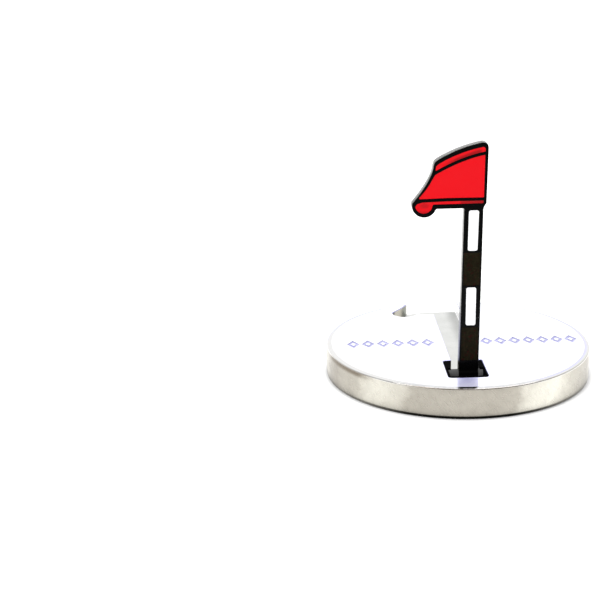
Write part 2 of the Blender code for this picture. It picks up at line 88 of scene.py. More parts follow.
# ----------------------------------------------------------- shared sizes
RECESS_GAP = 0.04                  # round and under the bracket
FLOOR_Z = BRACKET_Z0 - RECESS_GAP
RECESS_X = (BRACKET_X0 - RECESS_GAP, BRACKET_X1 + RECESS_GAP)
RECESS_Y = (BRACKET_Y0 - RECESS_GAP, BRACKET_Y1 + RECESS_GAP)
LIP_W, SEAT_DEPTH = 0.60, 1.75     # ring round the medallion seat under the coin

# Flag outlines are (x, height above the pin axis), seen from the front.
FOOT_Z = extent("flag_linework", "z")[0] - PIN_Z - 0.03
FLAG_BASE_Z = 24.91                # lower edge of the cloth
POLE = (-1.36, 1.52)               # left and right side at the pin
POLE_TOP = (-1.02, 1.76)           # the same at FLAG_BASE_Z
LOBE = (-6.62, 25.46, 1.76)        # rolled corner: x, height, radius
LOBE_CELL = (-6.70, 25.52, 1.20)   # its enamel
# curves are (start, pull, end)
FLY_CURVE = ((-5.42, 31.05), (-5.50, 29.30), (-8.16, 25.98))
TOP_FOLD = ((1.83, 33.02), (-1.60, 32.38), (-5.12, 30.38))

AT_PIN = Matrix.Translation(Vector((0, PIN_Y, PIN_Z)) * MM)
# outline (x, y) and height into place: flag height runs towards -Y
ON_FLAG = AT_PIN @ Matrix(((1, 0, 0), (0, 0, -1), (0, 1, 0))).to_4x4()
# medallion height runs down, outline x along -X
BELOW = Matrix(((-1, 0, 0), (0, 1, 0), (0, 0, -1))).to_4x4()


# --------------------------------------------------------- plane outlines
def arc(cx, cy, radius, start, end, steps):
    """Points along an arc, angles in degrees."""
    angles = [math.radians(start + (end - start) * i / steps) for i in range(steps + 1)]
    return [(cx + radius * math.cos(a), cy + radius * math.sin(a)) for a in angles]


def circle(cx, cy, radius, count):
    angles = [2 * math.pi * i / count for i in range(count)]
    return [(cx + radius * math.cos(a), cy + radius * math.sin(a)) for a in angles]


def rect(x0, x1, y0, y1):
    return [(x0, y0), (x1, y0), (x1, y1), (x0, y1)]


def bezier(start, pull, end, steps):
    """Quadratic curve from start to end."""
    out = []
    for i in range(steps + 1):
        t = i / steps
        weights = (1 - t) ** 2, 2 * t * (1 - t), t * t
        out.append(tuple(weights[0] * start[axis] + weights[1] * pull[axis]
                         + weights[2] * end[axis] for axis in (0, 1)))
    return out


def filleted(corners, steps=8):
    """Outline through corners (x, y, radius), rounded where radius > 0."""
    pts = []
    for i, (x, y, radius) in enumerate(corners):
        corner = Vector((x, y))
        back = Vector(corners[i - 1][:2]) - corner
        ahead = Vector(corners[(i + 1) % len(corners)][:2]) - corner
        if radius <= 0:
            pts.append((x, y))
            continue
        back.normalize()
        ahead.normalize()
        half = back.angle(ahead) / 2
        if half > math.radians(89.5):      # nearly straight
            pts.append((x, y))
            continue
        reach = radius / math.tan(half)
        centre = corner + (back + ahead).normalized() * (radius / math.sin(half))
        first = corner + back * reach - centre
        last = corner + ahead * reach - centre
        start = math.atan2(first.y, first.x)
        turn = math.atan2(first.x * last.y - first.y * last.x, first.dot(last))
        for k in range(steps + 1):
            angle = start + turn * k / steps
            pts.append((centre.x + radius * math.cos(angle),
                        centre.y + radius * math.sin(angle)))
    return pts


def signed_area(pts):
    return 0.5 * sum(pts[i - 1][0] * pts[i][1] - pts[i][0] * pts[i - 1][1]
                     for i in range(len(pts)))


def cleaned(pts, tol=0.004):
    """The closed outline without points closer than tol."""
    out = []
    for point in pts:
        if not out or math.dist(point, out[-1]) > tol:
            out.append(point)
    while len(out) > 1 and math.dist(out[0], out[-1]) <= tol:
        out.pop()
    return out


def grown(pts, distance):
    """The closed outline moved outwards, with long mitres held back."""
    if signed_area(pts) < 0:
        pts = pts[::-1]
    pts = cleaned(pts)
    out = []
    for i, here in enumerate(pts):
        point = Vector(here)
        before = (point - Vector(pts[i - 1])).normalized()
        after = (Vector(pts[(i + 1) % len(pts)]) - point).normalized()
        bisector = Vector((before.y, -before.x)) + Vector((after.y, -after.x))
        scale = min(2.0 / max(bisector.length_squared, 1e-6), 1.6)
        moved = point + bisector * (distance * scale)
        out.append((moved.x, moved.y))
    return out


def resampled(pts, step):
    """The same closed outline with no edge longer than step."""
    out = []
    for i, start in enumerate(pts):
        end = pts[(i + 1) % len(pts)]
        count = max(1, int(math.ceil(math.dist(start, end) / step)))
        for j in range(count):
            t = j / count
            out.append((start[0] + (end[0] - start[0]) * t,
                        start[1] + (end[1] - start[1]) * t))
    return out


def softened(pts, radius=0.10):
    """Round the sharp corners of an outline, as far as its edges have room."""
    pts = cleaned(pts, 0.01)
    corners = []
    for i, (x, y) in enumerate(pts):
        before = Vector(pts[i]) - Vector(pts[i - 1])
        after = Vector(pts[(i + 1) % len(pts)]) - Vector(pts[i])
        turn = before.angle(after)
        room = min(before.length, after.length) * 0.45
        fit = 0.0
        if turn > math.radians(20):
            fit = min(radius, room / max(math.tan(turn / 2), 1e-3))
        corners.append((x, y, fit))
    return cleaned(filleted(corners, 5), 0.002)


def spun(pts, degrees):
    cos, sin = math.cos(math.radians(degrees)), math.sin(math.radians(degrees))
    return [(x * cos - y * sin, x * sin + y * cos) for x, y in pts]


# ----------------------------------------------------------- mesh helpers
def link(obj):
    bpy.context.scene.collection.objects.link(obj)
    return obj


def finish_mesh(mesh, angle=32):
    mesh.shade_smooth()
    mesh.set_sharp_from_angle(angle=math.radians(angle))


def weighted(obj):
    mod = obj.modifiers.new("face_weighted_normals", "WEIGHTED_NORMAL")
    mod.keep_sharp = True
    mod.weight = 80
    return obj


def tidy(bm, weld):
    bmesh.ops.remove_doubles(bm, verts=bm.verts, dist=weld)
    bmesh.ops.dissolve_degenerate(bm, edges=bm.edges, dist=1e-8)
    bmesh.ops.recalc_face_normals(bm, faces=bm.faces)


def from_bm(name, bm, mats=(), angle=32):
    tidy(bm, weld=2e-7)
    mesh = bpy.data.meshes.new(name)
    bm.to_mesh(mesh)
    bm.free()
    obj = link(bpy.data.objects.new(name, mesh))
    for mat in mats:
        mesh.materials.append(mat)
    finish_mesh(mesh, angle)
    return obj


def rounded_plate(name, loops, low, high, bevel, steps, mats=(), place=Matrix.Identity(4)):
    """Flat piece with holes and rounded edges, from a filled curve."""
    curve = bpy.data.curves.new(name + "_curve", "CURVE")
    curve.dimensions = "2D"
    curve.fill_mode = "BOTH"
    for pts in loops:
        pts = cleaned(pts)
        spline = curve.splines.new("POLY")
        spline.points.add(len(pts) - 1)
        for i, (x, y) in enumerate(pts):
            spline.points[i].co = (x * MM, y * MM, 0, 1)
        spline.use_cyclic_u = True
    curve.extrude = ((high - low) / 2 - bevel) * MM
    curve.bevel_depth = bevel * MM
    curve.bevel_resolution = steps
    curve.offset = -bevel * MM
    temp = link(bpy.data.objects.new(name + "_curve", curve))
    depsgraph = bpy.context.evaluated_depsgraph_get()
    mesh = bpy.data.meshes.new_from_object(temp.evaluated_get(depsgraph))
    bpy.data.objects.remove(temp, do_unlink=True)
    mesh.name = name
    mesh.transform(place @ Matrix.Translation((0, 0, (low + high) / 2 * MM)))
    bm = bmesh.new()
    bm.from_mesh(mesh)
    tidy(bm, weld=5e-7)
    bm.to_mesh(mesh)
    bm.free()
    mesh.materials.clear()
    for mat in mats:
        mesh.materials.append(mat)
    obj = link(bpy.data.objects.new(name, mesh))
    finish_mesh(mesh, 40)
    return obj


def join_rings(bm, rings):
    """Skin stacked rings of vertices with quads."""
    count = len(rings[0])
    for lower, upper in zip(rings, rings[1:]):
        for i in range(count):
            j = (i + 1) % count
            bm.faces.new((lower[i], lower[j], upper[j], upper[i]))


def loft(name, loops, mats=(), place=Matrix.Identity(4), angle=32):
    """Closed solid through stacked outlines [(pts, height), ...]."""
    bm = bmesh.new()
    rings = [[bm.verts.new(place @ (Vector((x, y, height)) * MM)) for x, y in pts]
             for pts, height in loops]
    bm.faces.new(rings[0][::-1])
    bm.faces.new(rings[-1])
    join_rings(bm, rings)
    return from_bm(name, bm, mats, angle)


def turned(name, profile, segments, mats=(), axis="Z", place=Matrix.Identity(4)):
    """Closed solid turned from an open (radius, height) profile; flat ends."""
    bm = bmesh.new()
    rings = []
    for radius, height in profile:
        ring = []
        for i in range(segments):
            angle = 2 * math.pi * i / segments
            cos, sin = radius * math.cos(angle), radius * math.sin(angle)
            point = Vector((cos, sin, height) if axis == "Z" else (height, cos, sin))
            ring.append(bm.verts.new(place @ (point * MM)))
        rings.append(ring)
    join_rings(bm, rings)
    bm.faces.new(rings[0][::-1])
    bm.faces.new(rings[-1])
    return from_bm(name, bm, mats)


def bar_profile(radius, x0, x1, rounding, steps):
    """Turned profile of a bar with rounded ends."""
    return (arc(radius - rounding, x0 + rounding, rounding, -90, 0, steps)
            + arc(radius - rounding, x1 - rounding, rounding, 0, 90, steps))


def cut(obj, *others, operation="DIFFERENCE"):
    """Boolean, then its result is kept as the object's own mesh."""
    for other in others:
        mod = obj.modifiers.new("cut", "BOOLEAN")
        mod.operation = operation
        mod.object = other
        mod.solver = "EXACT"
    depsgraph = bpy.context.evaluated_depsgraph_get()
    mesh = bpy.data.meshes.new_from_object(obj.evaluated_get(depsgraph))
    obj.modifiers.clear()
    obj.data = mesh
    for other in others:
        bpy.data.objects.remove(other, do_unlink=True)
    return obj


def paint(obj, mats, pick, angle):
    """Give each face the material that pick(face) returns, then shade."""
    obj.data.materials.clear()
    for mat in mats:
        obj.data.materials.append(mat)
    for face in obj.data.polygons:
        face.material_index = mats.index(pick(face))
    finish_mesh(obj.data, angle)


def keep(obj, part):
    """Hand over <node>_fine in place of the frame's node."""
    node = obj.name.removesuffix("_fine")
    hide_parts(node)
    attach(obj, part)


# ----------------------------------------------------------- shader nodes
NOISE_SPAN = (0.3, 0.7)     # where most noise values fall


def grey(tone):
    return (tone, tone, tone)


class Graph:
    """Short ways to grow a node tree; every method returns an output."""

    def __init__(self, tree):
        self.tree = tree

    def feed(self, socket, value):
        """Link a socket or set a value; a tuple of three is a colour."""
        if isinstance(value, bpy.types.NodeSocket):
            self.tree.links.new(value, socket)
        elif isinstance(value, tuple) and len(value) == 3:
            socket.default_value = (*value, 1)
        elif value is not None:
            socket.default_value = value

    def node(self, kind, inputs=None, **props):
        node = self.tree.nodes.new(kind)
        for key, value in props.items():
            setattr(node, key, value)
        for key, value in (inputs or {}).items():
            self.feed(node.inputs[key], value)
        return node

    def noise(self, vector, scale, detail=3.0, rough=0.5, distortion=0.0):
        return self.node("ShaderNodeTexNoise", {
            "Vector": vector, "Scale": scale, "Detail": detail, "Roughness": rough,
            "Distortion": distortion}).outputs["Fac"]

    def ramp(self, factor, stops, interpolation="EASE"):
        """Colour ramp from stops (position, colour)."""
        node = self.node("ShaderNodeValToRGB")
        node.color_ramp.interpolation = interpolation
        elements = node.color_ramp.elements
        while len(elements) > 1:
            elements.remove(elements[-1])
        elements[0].position = stops[0][0]
        elements[0].color = (*stops[0][1], 1)
        for position, colour in stops[1:]:
            elements.new(position).color = (*colour, 1)
        self.feed(node.inputs["Fac"], factor)
        return node.outputs["Color"]

    def shades(self, noise, first, last):
        """Noise turned into a colour between two."""
        return self.ramp(noise, list(zip(NOISE_SPAN, (first, last))))

    def math(self, operation, first, second=None, clamp=False):
        return self.node("ShaderNodeMath", {0: first, 1: second},
                         operation=operation, use_clamp=clamp).outputs[0]

    def add(self, first, second):
        return self.math("ADD", first, second)

    def sub(self, first, second):
        return self.math("SUBTRACT", first, second)

    def mul(self, first, second):
        return self.math("MULTIPLY", first, second)

    def remap(self, value, over, to=(0.0, 1.0), interpolation="LINEAR"):
        """The range over stretched onto the range to."""
        return self.node("ShaderNodeMapRange", dict(enumerate((value, *over, *to))),
                         interpolation_type=interpolation).outputs["Result"]

    def ease(self, value, over, to=(0.0, 1.0)):
        return self.remap(value, over, to, "SMOOTHSTEP")

    def spread(self, noise, low, high):
        """Noise turned into a number between two."""
        return self.remap(noise, NOISE_SPAN, (low, high))

    def mix(self, factor, first, second, mode="MIX"):
        return self.node("ShaderNodeMix", {0: factor, 6: first, 7: second},
                         data_type="RGBA", blend_type=mode).outputs[2]

    def split(self, vector):
        return self.node("ShaderNodeSeparateXYZ", {0: vector}).outputs[:3]

    def join(self, x, y, z):
        return self.node("ShaderNodeCombineXYZ", {0: x, 1: y, 2: z}).outputs[0]


class Material(Graph):
    def __init__(self, name):
        self.material = bpy.data.materials.new(name)
        self.material.use_nodes = True
        super().__init__(self.material.node_tree)

    def surface(self, **values):
        """Set inputs of the Principled node and return the material."""
        inputs = self.tree.nodes["Principled BSDF"].inputs
        for key, value in values.items():
            self.feed(inputs[key.replace("_", " ")], value)
        return self.material

    def coords(self, scale=(1, 1, 1), turn=0.0):
        """Object coordinates in millimetres, turned about Z, then scaled."""
        source = self.node("ShaderNodeTexCoord")
        return self.node("ShaderNodeMapping", {
            "Scale": [s / MM for s in scale], "Rotation": [0, 0, turn],
            "Vector": source.outputs["Object"]}).outputs["Vector"]

    def bump(self, height, strength, depth, normal=None):
        return self.node("ShaderNodeBump", {
            "Strength": strength, "Distance": depth * MM, "Height": height,
            "Normal": normal}).outputs["Normal"]

    def tint(self, colour, factor):
        """Colour times a grey factor."""
        return self.node("ShaderNodeVectorMath", {0: colour, "Scale": factor},
                         operation="SCALE").outputs[0]

    def occlusion(self, reach):
        return self.node("ShaderNodeAmbientOcclusion", {"Distance": reach * MM},
                         samples=12).outputs["AO"]

    def normal(self):
        return self.split(self.node("ShaderNodeNewGeometry").outputs["Normal"])


# --------------------------------------------------------- coin materials
def face_material():
    """Polished nickel face: a bright satin body under a sharp mirror coat."""
    mat = Material("polished_face")
    coords = mat.coords()
    smudge = mat.noise(coords, scale=0.16, detail=4.0, rough=0.55, distortion=0.6)
    fine = mat.noise(coords, scale=2.2, rough=0.6)
    colour = mat.shades(smudge, (0.93, 0.93, 0.985), (0.97, 0.97, 1.0))
    rough = mat.spread(smudge, 0.42, 0.50)
    scratch = mat.noise(mat.coords((6.0, 0.5, 1.0), turn=0.5), scale=1.0, detail=2.0)
    relief = mat.add(mat.mul(fine, 0.5), mat.mul(scratch, 0.5))
    normal = mat.bump(relief, strength=0.05, depth=0.02)
    x, y, z = mat.split(coords)
    # painted reflection: a bluish glow emitted over the polish, faint everywhere, strongest
    # between the hinge and the rim
    across = mat.mul(mat.ease(x, over=(-4.6, -2.0)), mat.ease(x, over=(2.2, 5.0), to=(1, 0)))
    glow_patch = mat.mul(mat.ease(y, over=(-13.2, -15.2)), across)
    blue = mat.mix(mat.ease(y, over=(-18.6, -15.8)), (0.175, 0.175, 0.38), (0.260, 0.260, 0.56))
    painted_reflection_glow = mat.mix(glow_patch, (0.055, 0.055, 0.075), blue)
    return mat.surface(
        Base_Color=colour, Metallic=1.0, Roughness=rough, Normal=normal, Coat_Weight=1.0,
        Coat_IOR=3.0, Coat_Roughness=0.03, Emission_Color=painted_reflection_glow, Emission_Strength=1.0)


# Painted reflections round the edge, as tones: (degrees counter-clockwise from -X seen from
# above, weight from EDGE_DULL at 0 to EDGE_BRIGHT at 1).
EDGE_DULL, EDGE_BRIGHT = (0.392, 0.367, 0.318), (0.745, 0.725, 0.645)
EDGE_REFLECTION_TONES = (
    (0, 0.10), (5, 0.36), (11, -0.16), (18, -0.20), (25, 0.02), (36, 0.10),
    (40, 0.42), (44, 0.58), (50, 0.60), (53, 0.44), (58, 0.36), (63, -0.02),
    (80, 0.01), (98, -0.02), (107, 0.08), (111, 0.55), (118, 0.84), (127, 0.94),
    (132, 0.62), (137, 0.38), (147, 0.17), (156, 0.0), (162, 0.66), (167, 0.70),
    (171, 0.30), (177, -0.36), (205, 0.10), (226, 0.60), (250, 0.08), (312, 0.72),
    (335, 0.10), (360, 0.10))


def edge_material():
    """Satin nickel edge: warm, with painted reflections as bright and dull reaches round the
    rim.
    """
    mat = Material("satin_edge")
    x, y, z = mat.split(mat.coords())
    angle = mat.math("ARCTAN2", y, x)
    along = mat.mul(angle, COIN_R)
    wander = mat.noise(mat.join(along, mat.mul(z, 1.4), 3.0), scale=0.45, rough=0.55)
    # turn is the share of a full circle from -X, with wavering, leaning bounds
    turn = mat.add(mat.math("DIVIDE", angle, 2 * math.pi), 0.5)
    turn = mat.add(turn, mat.spread(wander, -0.006, 0.006))
    turn = mat.add(turn, mat.remap(z, over=(0.0, COIN_T), to=(0.006, -0.006)))
    base = mat.ramp(turn, [
        (degrees / 360, tuple(dull + (bright - dull) * weight
                              for dull, bright in zip(EDGE_DULL, EDGE_BRIGHT)))
        for degrees, weight in EDGE_REFLECTION_TONES], "LINEAR")
    slant = mat.join(mat.add(along, mat.mul(z, 0.7)), mat.mul(z, 0.30), 0.0)
    cloud = mat.noise(mat.join(along, z, 1.0), scale=0.8, rough=0.55)
    mottle = mat.noise(slant, scale=3.0, detail=4.0, rough=0.62, distortion=0.3)
    steep = mat.join(mat.add(along, mat.mul(z, 0.8)), mat.mul(z, 0.10), 1.0)
    streak = mat.noise(steep, scale=7.0, rough=0.6)
    fleck = mat.mul(mat.spread(mottle, 0.95, 1.04),
                    mat.mul(mat.spread(streak, 0.985, 1.01), mat.spread(cloud, 0.95, 1.05)))
    # warm shade under the rim on the left reach
    reach = mat.mul(mat.ease(turn, over=(0.010, 0.034)),
                    mat.ease(turn, over=(0.092, 0.126), to=(1, 0)))
    under = mat.mul(reach, mat.ease(z, over=(COIN_T - 1.15, COIN_T - 0.52), to=(0.0, 0.86)))
    # the foot of the edge sinks into shade
    foot = mat.mul(mat.ease(z, over=(0.50, 1.00), to=(0.93, 1.0)),
                   mat.ease(z, over=(0.30, 1.7), to=(0.92, 1.0)))
    front = mat.mul(mat.ease(turn, over=(0.02, 0.20), to=(0.20, 1.0)),
                    mat.ease(turn, over=(0.29, 0.47), to=(1.0, 0.20)))
    # painted contact shadow: a black band low on the front of the edge
    line = mat.mul(mat.ease(z, over=(0.42, 0.58), to=(1, 0)), front)
    colour = mat.tint(base, mat.mul(fleck, foot))
    colour = mat.mix(under, colour, (0.150, 0.122, 0.088))
    # and turns black where it nearly meets the floor: painted contact shadow, from occlusion
    # and a band low on the front
    contact_shade = mat.ramp(mat.occlusion(reach=0.9),
                    [(0.42, grey(1)), (0.72, grey(0.88)), (0.93, grey(0))], "LINEAR")
    contact_shade = mat.mul(mat.mul(contact_shade, front), 0.45)
    colour = mat.mix(mat.math("MAXIMUM", contact_shade, line), colour, (0.004, 0.004, 0.003))
    mottled = mat.bump(mottle, strength=0.035, depth=0.012)
    return mat.surface(
        Base_Color=colour, Metallic=1.0, Roughness=mat.spread(mottle, 0.24, 0.34),
        Normal=mat.bump(streak, strength=0.03, depth=0.005, normal=mottled))


def round_material():
    """The polished round-over between face and edge; its tones are painted reflections and
    shade.
    """
    mat = Material("polished_roundover")
    coords = mat.coords()
    cloud = mat.noise(coords, scale=1.2)
    normal_x, normal_y, normal_z = mat.normal()
    x, y, z = mat.split(coords)
    away = mat.ease(normal_y, over=(0.0, 0.10))
    # painted reflection: tone of the roll by how far it has turned up
    roll = mat.mix(mat.ease(normal_z, over=(0.90, 0.996)),
                   mat.shades(cloud, (0.33, 0.30, 0.265), (0.42, 0.385, 0.345)),
                   mat.shades(cloud, grey(0.68), grey(0.76)))
    roll = mat.mix(mat.ease(normal_z, over=(0.25, 0.65)), (0.56, 0.525, 0.46), roll)
    # painted reflection: paler across the front middle, fading towards the ends
    centre = mat.mul(mat.ease(x, over=(-12.0, -7.0), to=(0.12, 1.0)),
                     mat.ease(x, over=(2.5, 9.0), to=(1.0, 0.42)))
    near = mat.mix(centre, (0.80, 0.795, 0.775), roll)
    # painted brownish shade under the rim on the left, painted lavender reflection along the
    # inner line on the right
    left = mat.mul(mat.ease(x, over=(-13.0, -15.5), to=(0.0, 0.8)),
                   mat.ease(x, over=(-19.0, -19.8), to=(1, 0)))
    brown_painted_shade = mat.mul(mat.ease(normal_z, over=(0.20, 0.55), to=(1, 0)), left)
    near = mat.mix(brown_painted_shade, near, (0.16, 0.13, 0.095))
    inner = mat.mul(mat.ease(normal_z, over=(0.990, 0.9965)), mat.ease(x, over=(6.0, 13.0)))
    near = mat.mix(inner, near, (0.72, 0.72, 0.93))
    # painted bluish reflection where the round-over faces away
    far = mat.shades(cloud, (0.66, 0.69, 0.86), (0.72, 0.75, 0.90))
    return mat.surface(
        Base_Color=mat.mix(away, near, far), Metallic=1.0,
        Roughness=mat.spread(cloud, 0.06, 0.12),
        Normal=mat.bump(cloud, strength=0.05, depth=0.02))


def pocket_material():
    """Bead-blasted nickel of the pocket floor, shaded to the back right."""
    mat = Material("pocket_satin")
    coords = mat.coords()
    grain = mat.noise(coords, scale=9.0, rough=0.65)
    cloud = mat.noise(coords, scale=0.35)
    colour = mat.shades(cloud, (0.660, 0.668, 0.640), (0.72, 0.725, 0.70))
    x, y, z = mat.split(coords)
    shade = mat.mul(mat.ease(x, over=(0.1, 2.1), to=(0.0, 0.40)), mat.ease(y, over=(-4.0, 3.0)))
    return mat.surface(
        Base_Color=mat.tint(colour, mat.sub(1.0, shade)), Metallic=1.0,
        Roughness=mat.spread(grain, 0.26, 0.36),
        Normal=mat.bump(grain, strength=0.18, depth=0.010))


def wall_material():
    """Walls of the pocket, channel and recess: duller, warmer nickel."""
    mat = Material("pocket_wall")
    coords = mat.coords()
    cloud = mat.noise(coords, scale=0.9, rough=0.55)
    lines = mat.noise(mat.coords((0.4, 0.4, 6.0)), scale=1.6, detail=2.0)
    colour = mat.shades(cloud, (0.27, 0.25, 0.21), (0.46, 0.44, 0.385))
    x, y, z = mat.split(coords)
    # painted light and shade on the little wall that shows at the lobe: grey tip, cream
    # highlight, then dark
    lobe = mat.mul(mat.ease(x, over=(-5.6, -6.0)), mat.ease(y, over=(13.0, 14.0)))
    across = mat.ramp(mat.remap(x, over=(-8.7, -5.7)), [
        (0.0, (0.20, 0.20, 0.21)), (0.12, (0.22, 0.22, 0.22)), (0.24, (0.98, 0.93, 0.82)),
        (0.52, (0.86, 0.81, 0.69)), (0.70, (0.24, 0.24, 0.20)), (0.86, (0.17, 0.18, 0.15)),
        (1.0, (0.40, 0.40, 0.38))], "LINEAR")
    colour = mat.mix(lobe, colour, across)
    # the long wall beside the pole catches the light
    lit = mat.mul(mat.ease(x, over=(2.0, 2.3)), mat.ease(y, over=(4.0, 12.0)))
    return mat.surface(
        Base_Color=mat.mix(lit, colour, grey(0.86)), Metallic=1.0,
        Roughness=mat.spread(lines, 0.24, 0.34),
        Emission_Color=grey(0.5), Emission_Strength=mat.mul(lit, 0.55),
        Normal=mat.bump(lines, strength=0.12, depth=0.012))


def lip_material():
    """The small polished break round the mouth of the pocket, its lavender tone a painted
    reflection.
    """
    mat = Material("pocket_lip")
    cloud = mat.noise(mat.coords(), scale=2.0)
    return mat.surface(
        Base_Color=mat.shades(cloud, (0.36, 0.36, 0.66), (0.44, 0.44, 0.74)), Metallic=1.0,
        Roughness=mat.spread(cloud, 0.14, 0.22),
        Normal=mat.bump(cloud, strength=0.05, depth=0.01))


def groove_material():
    """Frosted floor of the engraved band, with paler patches; its lavender tones are a painted
    bluish reflection.
    """
    mat = Material("engraved_frost")
    coords = mat.coords()
    grain = mat.noise(coords, scale=14.0, detail=2.0, rough=0.6)
    patch = mat.noise(coords, scale=1.6, detail=2.0)
    colour = mat.mix(mat.remap(patch, over=(0.46, 0.62), to=(0.0, 0.45)),
                     mat.shades(grain, (0.40, 0.40, 0.66), (0.50, 0.50, 0.76)),
                     (0.72, 0.72, 0.90))
    return mat.surface(Base_Color=colour, Metallic=0.6, Roughness=0.55,
                       Normal=mat.bump(grain, strength=0.4, depth=0.01))


def struck_material():
    """Struck nickel of the medallion and the underside."""
    mat = Material("struck_nickel")
    cloud = mat.noise(mat.coords(), scale=0.5, detail=4.0, rough=0.55)
    grain = mat.noise(mat.coords((1.0, 1.0, 5.0)), scale=4.0, rough=0.6)
    return mat.surface(
        Base_Color=mat.shades(cloud, (0.70, 0.70, 0.68), (0.82, 0.81, 0.79)), Metallic=1.0,
        Roughness=mat.spread(grain, 0.14, 0.24),
        Normal=mat.bump(grain, strength=0.12, depth=0.01))


# ----------------------------------------------- hinge and flag materials
def flag_side_material():
    """Plated sides and back of the flag; sides painted darker as shade, and a painted bluish
    reflection low on the pole's left.
    """
    mat = Material("flag_nickel")
    x, y, z = mat.split(mat.coords())
    cloud = mat.noise(mat.coords(), scale=0.8, detail=4.0, rough=0.55)
    grain = mat.noise(mat.coords((1.0, 1.0, 5.0)), scale=4.0, rough=0.6)
    side = mat.ease(mat.normal()[1], over=(0.75, 0.45))
    back = mat.shades(cloud, (0.57, 0.565, 0.55), (0.645, 0.64, 0.625))
    # painted shade: the sides darker than the back
    high = mat.shades(cloud, (0.150, 0.150, 0.142), (0.265, 0.262, 0.25))
    # painted bluish reflection low on the pole's left flank
    low = mat.mul(mat.ease(z, over=(PIN_Z + 3.0, PIN_Z + 12.5), to=(1, 0)),
                  mat.ease(x, over=(0.2, -0.9)))
    edge = mat.mix(low, high, (0.060, 0.072, 0.150))
    return mat.surface(
        Base_Color=mat.mix(side, back, edge), Metallic=1.0,
        Roughness=mat.spread(grain, 0.22, 0.34),
        Normal=mat.bump(grain, strength=0.12, depth=0.01))


def lacquer_material():
    mat = Material("black_lacquer")
    coords = mat.coords()
    peel = mat.noise(coords, scale=2.6, detail=2.0)
    dust = mat.noise(coords, scale=16.0, detail=2.0, rough=0.6)
    colour = mat.ramp(dust, [(0.35, (0.0008, 0.0010, 0.0010)),
                             (0.75, (0.0024, 0.0023, 0.0023))])
    return mat.surface(
        Base_Color=colour, Roughness=mat.spread(peel, 0.20, 0.32), Specular_IOR_Level=0.06,
        Normal=mat.bump(peel, strength=0.10, depth=0.02))


def bracket_material():
    mat = Material("bracket_moulded_black")
    grain = mat.noise(mat.coords(), scale=11.0, rough=0.6)
    colour = mat.ramp(grain, [(0.35, (0.0004, 0.0005, 0.0006)),
                              (0.7, (0.0012, 0.0013, 0.0015))])
    return mat.surface(
        Base_Color=colour, Roughness=mat.spread(grain, 0.42, 0.58), Specular_IOR_Level=0.004,
        Normal=mat.bump(grain, strength=0.2, depth=0.012))


def pin_material():
    """Drawn grey steel: rings round the bar, dull."""
    mat = Material("drawn_steel")
    x, y, z = mat.split(mat.coords())
    rings = mat.noise(mat.join(mat.mul(x, 9.0), mat.mul(y, 0.6), mat.mul(z, 0.6)),
                      scale=1.0, rough=0.6)
    cloud = mat.noise(mat.coords(), scale=1.4, rough=0.6)
    colour = mat.mix(1.0, mat.shades(cloud, grey(0.060), grey(0.085)),
                     mat.ramp(rings, [(0.35, grey(0.80)), (0.6, grey(1))]), "MULTIPLY")
    # painted light: a faint grey glow evens out the steel's shading
    return mat.surface(
        Base_Color=colour, Metallic=0.0, Specular_IOR_Level=0.12,
        Emission_Color=grey(0.040), Emission_Strength=1.0,
        Roughness=mat.spread(rings, 0.42, 0.58),
        Normal=mat.bump(rings, strength=0.25, depth=0.012))


def adhesive_material():
    mat = Material("adhesive_cream")
    cloud = mat.noise(mat.coords(), scale=2.0)
    return mat.surface(
        Base_Color=mat.shades(cloud, (0.66, 0.63, 0.52), (0.75, 0.73, 0.64)),
        Roughness=0.55, Normal=mat.bump(cloud, strength=0.2, depth=0.02))


# ---------------------------------------------------------------- enamels
def enamel_material(name, tone, rough=(0.16, 0.26), specular=0.08, peel_strength=0.12):
    """Glassy enamel with a slight orange peel; tone(mat) gives its colour."""
    mat = Material(name)
    colour = tone(mat)
    peel = mat.noise(mat.coords(), scale=1.1, detail=2.0)
    return mat.surface(
        Base_Color=colour, Roughness=mat.spread(peel, *rough), Specular_IOR_Level=specular,
        Normal=mat.bump(peel, strength=peel_strength, depth=0.03))


def red_tone(mat, amount):
    """Red, darkened by amount."""
    pigment = mat.noise(mat.coords(), scale=7.0, rough=0.6)
    base = mat.mix(mat.spread(pigment, 0.0, 0.06), (0.690, 0.0050, 0.0102),
                   (0.60, 0.0035, 0.008))
    return mat.mix(amount, base, (0.300, 0.0060, 0.0085))


def red_plain(mat):
    return red_tone(mat, 0.0)


def red_top(mat):
    """Darker along the lower side of the top fold."""
    x, y, z = mat.split(mat.coords())
    # height of the fold line under each x, as a parabola through its ends
    along = mat.remap(x, over=(TOP_FOLD[2][0], TOP_FOLD[0][0]))
    rise, sag = 3.95, 1.31
    climb = mat.sub(mat.mul(along, rise), mat.mul(mat.mul(along, along), sag))
    line = mat.add(TOP_FOLD[2][1] + PIN_Z, climb)
    above = mat.sub(z, line)
    reach = mat.remap(x, over=(-4.6, 0.6), to=(0.02, 0.18))
    amount = mat.remap(mat.sub(above, reach), over=(0.36, 0.10), to=(0.0, 0.95))
    ends = mat.mul(mat.remap(x, over=(-4.4, -2.2)),
                   mat.remap(x, over=(1.5, 1.0), to=(0.15, 1.0)))
    return red_tone(mat, mat.mul(amount, ends))


